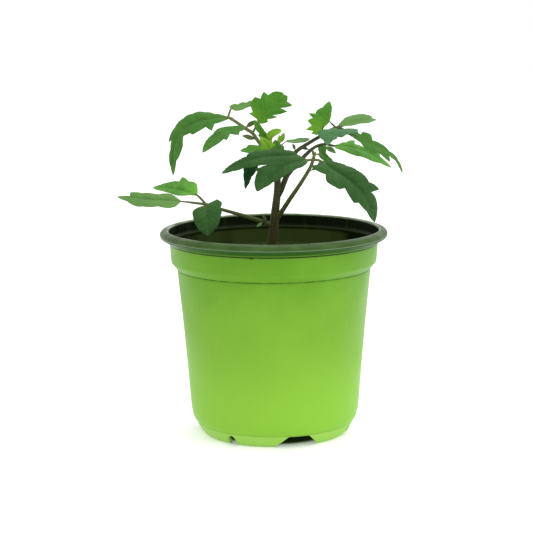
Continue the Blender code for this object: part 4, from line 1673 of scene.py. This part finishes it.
LEAF_B = Leaf(
    "leaf_b",
    ((2.5, 2, 166), (-2, 3, 172), (-5, 4, 175.5), (-8, 5, 179), (-10, 6.5, 181.5), (-12.5, 8, 185),
     (-16.5, 9.5, 187.5), (-22.5, 12, 191.5), (-27.5, 13, 194.5)),
    (1.4, 0.9),
    (
        Leaflet((-26.5, 13, 194), (-62, 18, 158), (-0.2, -0.8, 1),
                via=((-37, 15, 193.5), (-48, 18, 190.5), (-56.5, 20, 184), (-60.5, 20, 175)),
                left=((0.05, 0.04), (0.15, 0.08), (0.17, 0.17), (0.24, 0.1), (0.41, 0.16), (0.45, 0.11),
                      (0.55, 0.06), (0.67, 0.14), (0.81, 0.1), (0.85, 0.05)),
                right=((0.08, 0.03), (0.16, 0.05), (0.26, 0.09), (0.35, 0.117), (0.37, 0.111), (0.44, 0.127),
                       (0.46, 0.12), (0.54, 0.13), (0.56, 0.122), (0.62, 0.13), (0.68, 0.115), (0.66, 0.08),
                       (0.74, 0.065), (0.83, 0.07), (0.92, 0.04)),
                joint=(-22.5, 12, 191.5)),
        Leaflet((-17, 9, 188), (-43, -4, 174.5), (-0.2, -0.7, 1), via=((-25, 6, 187), (-33.5, 1, 183.5)),
                left=((0.04, 0.05), (0.08, 0.1), (0.13, 0.09), (0.23, 0.23), (0.37, 0.1), (0.55, 0.24),
                      (0.56, 0.16), (0.8, 0.1)),
                right=((-0.03, 0.04), (0.03, 0.09), (0.11, 0.08), (0.21, 0.1), (0.38, 0.15), (0.6, 0.12),
                       (0.83, 0.1)),
                joint=(-14, 9, 186)),
        Leaflet((-25.5, 15, 199.5), (-6.5, 20, 204), (0, -0.45, 1),
                left=((-0.03, 0.12), (0.16, 0.17), (0.25, 0.1), (0.42, 0.16), (0.52, 0.08), (0.68, 0.12),
                      (0.8, 0.05)),
                right=((0.04, 0.22), (0.28, 0.29), (0.52, 0.2), (0.8, 0.14)),
                joint=(-27.5, 13, 194.5), tone=Tone.PALE),
        Leaflet((-9, 8, 191), (7, 14, 208), (0, -1, 0.3),
                left=((0.06, 0.09), (0.03, 0.33), (0.12, 0.28), (0.23, 0.45), (0.44, 0.5), (0.51, 0.36),
                      (0.7, 0.42), (0.72, 0.28), (0.91, 0.21), (1.02, 0.05)),
                right=((0.04, 0.07), (0.19, 0.17), (0.23, 0.11), (0.45, 0.27), (0.38, 0.12), (0.72, 0.37),
                       (0.66, 0.16), (0.93, 0.36), (0.91, 0.18), (1.03, 0.1)),
                joint=(-12.5, 8, 185), tone=Tone.YOUNG),
        small_leaflet((-11.2, 6, 181.6), (-19, 3.5, 183.8), (-10.2, 6.6, 181.6), Tone.OLIVE),
        small_leaflet((-16.3, 9.2, 188.7), (-9.5, 8.5, 192.5), (-16.8, 9.6, 187.6), Tone.OLIVE),
    ),
)

LEAF_C = Leaf(
    "leaf_c",
    ((2.5, 1.5, 162), (14, 4, 173.5), (19, 5, 177), (28, 8, 182), (39, 10, 187.5), (47, 15, 183.5),
     (52, 18, 180)),
    (1.4, 0.8),
    (
        Leaflet((30.5, 6, 187.5), (35, 16, 203.5), (0, -1, 0.3),
                left=((-0.27, 0.12), (-0.29, 0.3), (-0.17, 0.26), (-0.21, 0.5), (0, 0.35), (0.12, 0.52),
                      (0.26, 0.37), (0.38, 0.54), (0.44, 0.32), (0.54, 0.32), (0.72, 0.15)),
                right=((0.1, 0.06), (0.25, 0.15), (0.4, 0.16), (0.6, 0.15), (0.89, 0.09)),
                joint=(28, 8, 182), tone=Tone.YOUNG),
        Leaflet((40, 12, 188), (64.5, 24, 191), (0, -0.45, 1), via=((49, 17, 190), (56.5, 21, 191)),
                left=((0.25, 0.16), (0.46, 0.24), (0.64, 0.24), (0.84, 0.19), (0.95, 0.13), (0.9, 0.07)),
                right=((0.17, 0.08), (0.44, 0.15), (0.74, 0.17)),
                joint=(39, 10, 187.5), tone=Tone.PALE),
        Leaflet((42, 9, 186.5), (32.5, -16, 179.5), (0, -0.35, 1), via=((37, -4, 185),),
                left=((-0.04, 0.07), (-0.03, 0.24), (0.03, 0.39), (0.22, 0.44), (0.35, 0.51), (0.5, 0.41),
                      (0.53, 0.29), (0.65, 0.23), (0.63, 0.12), (0.71, 0.13), (0.77, 0.07)),
                right=((0.03, 0.11), (0.29, 0.2), (0.49, 0.29), (0.62, 0.33), (0.75, 0.25), (0.83, 0.14)),
                joint=(39, 10, 187.5), tone=Tone.BLUE),
        Leaflet((48, 15, 183), (81, 26, 157.5), (0.3, -0.8, 0.8),
                via=((54, 18.5, 180.5), (61.5, 22, 176), (70, 25, 171.5), (77, 27, 165.5)),
                left=((0.08, 0.05), (0.17, 0.05), (0.19, 0.1), (0.33, 0.13), (0.37, 0.06), (0.5, 0.07),
                      (0.65, 0.03), (0.83, 0.025), (0.94, 0.02)),
                right=((0.04, 0.04), (0.16, 0.09), (0.23, 0.14), (0.32, 0.17), (0.4, 0.18), (0.47, 0.1),
                       (0.56, 0.14), (0.71, 0.14), (0.66, 0.04), (0.81, 0.025), (0.94, 0.02)),
                joint=(47, 15, 183.5)),
        Leaflet((34.5, 15, 191.5), (30, 27, 198.5), (-0.2, -0.7, 1), left=PLAIN_LEFT, right=PLAIN_RIGHT,
                joint=(39, 10, 187.5)),
        small_leaflet((13.5, 3, 175), (12, 2.5, 179), (14, 4, 173.5), Tone.OLIVE),
    ),
)

LEAF_D = Leaf(
    "leaf_d",
    ((2, 0.5, 146), (4.5, 1.5, 150), (6.5, 3.5, 154.5), (9.5, 7, 160), (19, 16.5, 169), (26, 25, 174),
     (32.5, 30, 175.5), (38, 33, 174)),
    (2.0, 0.7),
    (
        Leaflet((38, 33, 174), (75.5, 50, 158), (0, -0.6, 1), via=((47.5, 39, 172.5), (59, 45, 168)),
                left=((0.1, 0.03), (0.24, 0.08), (0.41, 0.18), (0.39, 0.1), (0.57, 0.09), (0.78, 0.18),
                      (0.8, 0.09)),
                right=((0.01, 0.06), (0.11, 0.12), (0.25, 0.19), (0.38, 0.21), (0.57, 0.18), (0.81, 0.08)),
                joint=(32.5, 30, 175.5), tone=Tone.BRIGHT),
        small_leaflet((33, 29, 174), (39.5, 26, 170), (32.5, 30, 175.5)),
        small_leaflet((22, 20, 173.5), (16.5, 17.5, 175), (23, 21.5, 172), Tone.SHADE),
        Leaflet((30.5, 28, 175), (38, 16, 165), (0.2, -1, 0.3), via=((31, 22, 169.5),),
                left=((0.07, 0.15), (0.46, 0.12), (0.7, 0.09), (0.92, 0.04)),
                right=((0.05, 0.11), (0.31, 0.08), (0.52, 0.14), (0.68, 0.11), (0.87, 0.07)),
                joint=(32.5, 30, 175.5)),
    ),
)

LEAF_E = Leaf(
    "leaf_e",
    ((1.5, 0, 132.5), (3.5, -1.5, 135.5), (5.5, -3.5, 138.5), (9.5, -9, 145.5), (16.5, -18, 157),
     (22.5, -24, 168), (25, -26, 176.5)),
    (1.55, 0.95),
    (
        Leaflet((28, -27, 171.5), (60.5, -30, 134.5), (0.4, -0.8, 0.65),
                via=((36, -31, 166.5), (46, -35, 160), (54.5, -35, 150.5)),
                left=((0.07, 0.05), (0.18, 0.11), (0.28, 0.14), (0.4, 0.16), (0.58, 0.15), (0.71, 0.22),
                      (0.67, 0.1), (0.77, 0.13), (0.91, 0.08)),
                right=((0.02, 0.09), (-0.02, 0.16), (0.06, 0.17), (0.17, 0.13), (0.24, 0.22), (0.4, 0.22),
                       (0.43, 0.15), (0.6, 0.21), (0.65, 0.14), (0.81, 0.08)),
                joint=(24, -25, 172), tone=Tone.DEEP),
        Leaflet((21, -27, 172), (-10, -44, 155.5), (-0.3, -0.85, 0.5),
                via=((10.5, -34, 171), (1.5, -38, 167)),
                left=((0.15, 0.11), (0.28, 0.13), (0.42, 0.15), (0.62, 0.16), (0.75, 0.1), (0.89, 0.05)),
                right=((0.11, 0.08), (0.27, 0.12), (0.42, 0.13), (0.61, 0.16), (0.69, 0.2), (0.75, 0.24),
                       (0.76, 0.18), (0.85, 0.15), (0.94, 0.09)),
                joint=(24, -25, 172), tone=Tone.DEEP),
        small_leaflet((23, -23, 165.5), (28, -23, 168), (20.5, -22, 164.5), Tone.OLIVE),
        small_leaflet((24.5, -26, 174), (23.5, -26, 178), (25, -26, 175), Tone.OLIVE),
        small_leaflet((26, -26, 175.5), (29.5, -28, 175), (25, -26, 175), Tone.OLIVE),
    ),
)

LEAF_F = Leaf(
    "leaf_f",
    ((2.5, 1, 156.5), (5, -8, 165.5), (2, -12, 169.5), (-5.5, -15, 170.5), (-12.5, -18, 170)),
    (1.3, 0.8),
    (
        Leaflet((16, -21, 173.5), (-31, -36, 165.5), (0, -0.7, 0.7),
                via=((3, -26, 174.5), (-11.5, -32, 173.5)),
                left=((0.12, 0.08), (0.3, 0.13), (0.55, 0.13), (0.63, 0.12), (0.74, 0.07), (0.88, 0.04)),
                right=((0.07, 0.07), (0.16, 0.08), (0.27, 0.09), (0.41, 0.08), (0.57, 0.09), (0.63, 0.08),
                       (0.65, 0.06), (0.73, 0.06)),
                joint=(5, -8, 165.5), tone=Tone.DEEP),
        Leaflet((-12.5, -18, 170), (-17, -24, 154.5), (-0.3, -1, 0.1),
                left=((0.04, 0.24), (0.26, 0.23), (0.54, 0.11), (0.88, 0.05)),
                right=((0.1, 0.26), (0.42, 0.2), (0.76, 0.09)),
                joint=(-5.5, -15, 170.5), tone=Tone.SHADE),
    ),
)

SHOOT_TIP = Leaf(
    "shoot_tip",
    ((2, 1.5, 170.5), (2, 1, 174), (2, 0.5, 177.5), (1.5, 0, 181)),
    (1.4, 0.6),
    (
        Leaflet((-3, 2, 179), (-11.5, 4, 193.5), (-0.5, -1, 0.2), via=((-6.5, 3, 184.5),),
                left=((0.11, 0.05), (0.26, 0.09), (0.44, 0.14), (0.47, 0.07), (0.75, 0.1)),
                right=((0.17, 0.13), (0.33, 0.18), (0.46, 0.16), (0.61, 0.14), (0.81, 0.11)),
                joint=(2, 0.5, 177.5), tone=Tone.YOUNG),
        Leaflet((-2, -1, 180), (5.5, -3, 187.5), (0, -1, 0.3), via=((-2, -2, 184), (0.5, -2.5, 186.5)),
                left=((0.26, 0.09), (0.36, 0.17), (0.52, 0.14), (0.68, 0.13), (0.9, 0.09)),
                right=((0.15, 0.14), (0.39, 0.19), (0.72, 0.17), (0.87, 0.12)),
                joint=(2, 0.5, 177.5), tone=Tone.TIP),
        Leaflet((-3.5, -3, 176), (-20, -10, 176), (0, -0.7, 1),
                left=((0.07, 0.1), (0.2, 0.18), (0.48, 0.22), (0.85, 0.12)),
                right=((-0.01, 0.16), (0.28, 0.2), (0.63, 0.24), (0.71, 0.14), (0.81, 0.12)),
                joint=(2, 1, 174.5), tone=Tone.YOUNG),
        Leaflet((8, 4, 180), (23, 14, 180.5), (0, -0.5, 1),
                left=((0.07, 0.05), (0.34, 0.06), (0.8, 0.08)),
                right=((0.04, 0.1), (0.42, 0.25), (0.62, 0.22)),
                joint=(2, 1, 175.5), tone=Tone.PALE),
        Leaflet((2.5, -1.5, 172.5), (1.5, -2.5, 182), (0, -1, 0.3),
                left=((0.1, 0.22), (0.26, 0.38), (0.59, 0.37), (0.66, 0.26), (0.82, 0.19)),
                right=((0.08, 0.25), (0.2, 0.44), (0.53, 0.49), (0.6, 0.33), (0.77, 0.2)),
                joint=(2, 1, 174), tone=Tone.MID),
        Leaflet((0, -2, 172.5), (-7.5, -3.5, 184), (0, -1, 0.3),
                left=((0.15, 0.2), (0.36, 0.36), (0.42, 0.25), (0.6, 0.33), (0.66, 0.2), (0.82, 0.16)),
                right=((0.15, 0.21), (0.36, 0.36), (0.46, 0.26), (0.56, 0.32), (0.64, 0.2), (0.82, 0.14)),
                joint=(2, 1, 173), tone=Tone.TIP),
        small_leaflet((4, 0, 179), (4, 0, 184.5), (2, 0.5, 177.5), Tone.TIP),
        small_leaflet((5, 0.5, 180), (7, 0.5, 186), (2, 0.5, 177.5), Tone.TIP),
    ),
    Slot.YOUNG,
)

LEAVES = (LEAF_A, LEAF_B, LEAF_C, LEAF_D, LEAF_E, LEAF_F, SHOOT_TIP)


@dataclass
class CompoundLeaf:
    """Builds one compound leaf: its stalk, its leaflets, the ribs under them and their hairs.

    rib_span says where a rib runs under its blade, as shares of the blade's length. rib_taper holds shares
    of its first radius and rib_end its last two radii. least_stalk is the gap past which a leaflet stands on
    a stalk of its own.
    """

    leaf: Leaf
    seed: int
    hairs_per_mm: float = 9.0
    hair_length: Share = (0.3, 0.7)
    rib_hairs: float = 0.25
    rib_hair_length: Share = (0.2, 0.45)
    dark_stalks: tuple[str, ...] = ("leaf_c", "leaf_d", "shoot_tip")
    rib_span: Share = (0.12, 0.8)
    rib_radius: float = 0.8
    full_length: float = 30.0
    least_stalk: float = 1.5
    rib_sunk: float = 0.55
    rib_taper: tuple[float, ...] = (1, 1, 0.66, 0.48, 0.36, 0.26)
    rib_end: Share = (0.12, 0.084)

    def ribs(self, leaflet: Leaflet) -> Stalk:
        """Draws a leaflet's own stalk, which runs on under its blade as the midrib.

        Args:
            leaflet: the leaflet.

        Returns:
            The stalk.
        """
        rib = Midrib(leaflet)
        small = min(1.0, rib.length / self.full_length)
        share = np.linspace(*self.rib_span, 6)
        under = along(rib.line, share) - along(rib.up, share) * self.rib_sunk * small
        gap = float(np.linalg.norm(np.subtract(leaflet.joint, leaflet.base)))
        start = [leaflet.joint, leaflet.base] if gap > self.least_stalk else [leaflet.joint]
        first = min(self.leaf.radii[1], self.rib_radius) * (0.55 + 0.45 * small)
        radii = (*(first * share_left for share_left in self.rib_taper), *self.rib_end)
        return Stalk([*start, *(tuple(p) for p in under)], radii, 0.7)

    def build(self) -> bpy.types.Object:
        """Makes the leaf.

        Returns:
            The leaf as one piece.
        """
        rng = np.random.default_rng(self.seed)
        stalk = Stalk(self.leaf.stalk, self.leaf.radii)
        skin = DARK_STALK if self.leaf.name in self.dark_stalks else STALK
        parts = [stalk.mesh("stalk", skin)]
        hairs = stalk.hairs(self.hairs_per_mm, self.hair_length, rng)
        for number, leaflet in enumerate(self.leaf.leaflets):
            parts.append(Blade(leaflet, self.seed + 7 * number).build())
            rib = self.ribs(leaflet)
            parts.append(rib.mesh("rib", skin, 2))
            hairs += rib.hairs(self.rib_hairs * self.hairs_per_mm, self.rib_hair_length, rng)
        down = scatter("hairs", hair_pattern(), hairs)
        dress_in(down, DOWN)
        return join("tomato_" + self.leaf.name, [*parts, down])


# Studio


@dataclass
class Studio:
    """A white floor, a white room, two soft lights and the camera.

    Places and lengths are in metres, but the lens and its sensor are in millimetres. So are the edges of the
    floor's painted shadow and of its glow: the radii where the ground under the pot is painted dark as a
    shadow, and past which the floor is lit up.
    """

    eye: Point = (-0.00458, -1.2, 0.30586)
    pitch: float = 0.1673
    roll: float = 0.0087
    lens: float = 133.3
    sensor: float = 36.0
    far: float = 20.0
    room: float = 1.0
    floor_size: float = 6.0
    floor_height: float = -0.0002
    whites: tuple[Colour, Colour] = ((0.92, 0.92, 0.92), (0.90, 0.90, 0.90))
    under_pot_shadow: Colour = (0.05, 0.06, 0.03)
    shadow_edge: Share = (37.0, 32.0)
    glow: float = 0.3
    glow_edge: Share = (34.5, 39.5)
    lights: tuple[tuple[str, Point, float, float], ...] = (
        ("key", (0.9, -0.9, 1.3), 1.0, 8.0),
        ("top", (0.3, 0.5, 1.6), 1.2, 8.0),
    )

    def build(self) -> None:
        """Sets the studio up."""
        bpy.ops.mesh.primitive_plane_add(size=self.floor_size, location=(0, 0, self.floor_height))
        floor = bpy.context.object
        floor.name = "studio_floor"
        w = Wiring("floor_white")
        colour = w.mix(w.ranged(w.noise(3.0), 0.3, 0.7), *self.whites)
        # Painted shadow: the ground under the pot is darkened.
        colour = w.mix(w.ranged(w.radius(), *metres(*self.shadow_edge)), colour, self.under_pot_shadow)
        floor.data.materials.append(w.dress(colour, 0.7, w.bump(w.noise(40.0), 0.1, 0.2)))
        w.feed(w.surface.inputs["Emission Color"], (1.0, 1.0, 1.0))
        clear = w.ranged(w.radius(), *metres(*self.glow_edge))
        w.feed(w.surface.inputs["Emission Strength"], w.times(clear, self.glow))
        world = bpy.data.worlds.new("white_room")
        world.use_nodes = True
        background = world.node_tree.nodes["Background"]
        background.inputs["Color"].default_value = (1, 1, 1, 1)
        background.inputs["Strength"].default_value = self.room
        bpy.context.scene.world = world
        for name, place, size, power in self.lights:
            lamp = bpy.data.lights.new(name, "AREA")
            lamp.shape = "DISK"
            lamp.size = size
            lamp.energy = power
            obj = put(name, lamp)
            obj.location = place
            obj.rotation_euler = (-Vector(place)).to_track_quat("-Z", "Y").to_euler()
        eye = bpy.data.cameras.new("camera")
        eye.lens = self.lens
        eye.sensor_width = self.sensor
        eye.clip_end = self.far
        camera = put("camera", eye)
        camera.location = self.eye
        turned = Matrix.Rotation(pi / 2 - self.pitch, 3, "X") @ Matrix.Rotation(-self.roll, 3, "Z")
        camera.rotation_euler = turned.to_euler()
        bpy.context.scene.camera = camera
        bpy.context.scene.view_settings.view_transform = "Standard"


def main() -> None:
    """Builds the plant, its pot and the studio, in order."""
    logging.basicConfig(level=logging.INFO, format="%(message)s")
    stand_for(NurseryPot().build(), Slot.POT, "pot")
    stand_for(WallCrumbs().build(), Slot.SOIL)
    compost = Compost()
    body = compost.body()
    stand_for(body, Slot.SOIL, "soil")
    stand_for(compost.loose_pieces(body), Slot.SOIL)
    stand_for(MainStem().build(), Slot.STEM, "main_stem")
    for number, leaf in enumerate(LEAVES):
        stand_for(CompoundLeaf(leaf, SEED + 100 * (number + 1)).build(), leaf.slot, leaf.name)
    Studio().build()
    deselect_all()


if __name__ == "__main__":
    main()
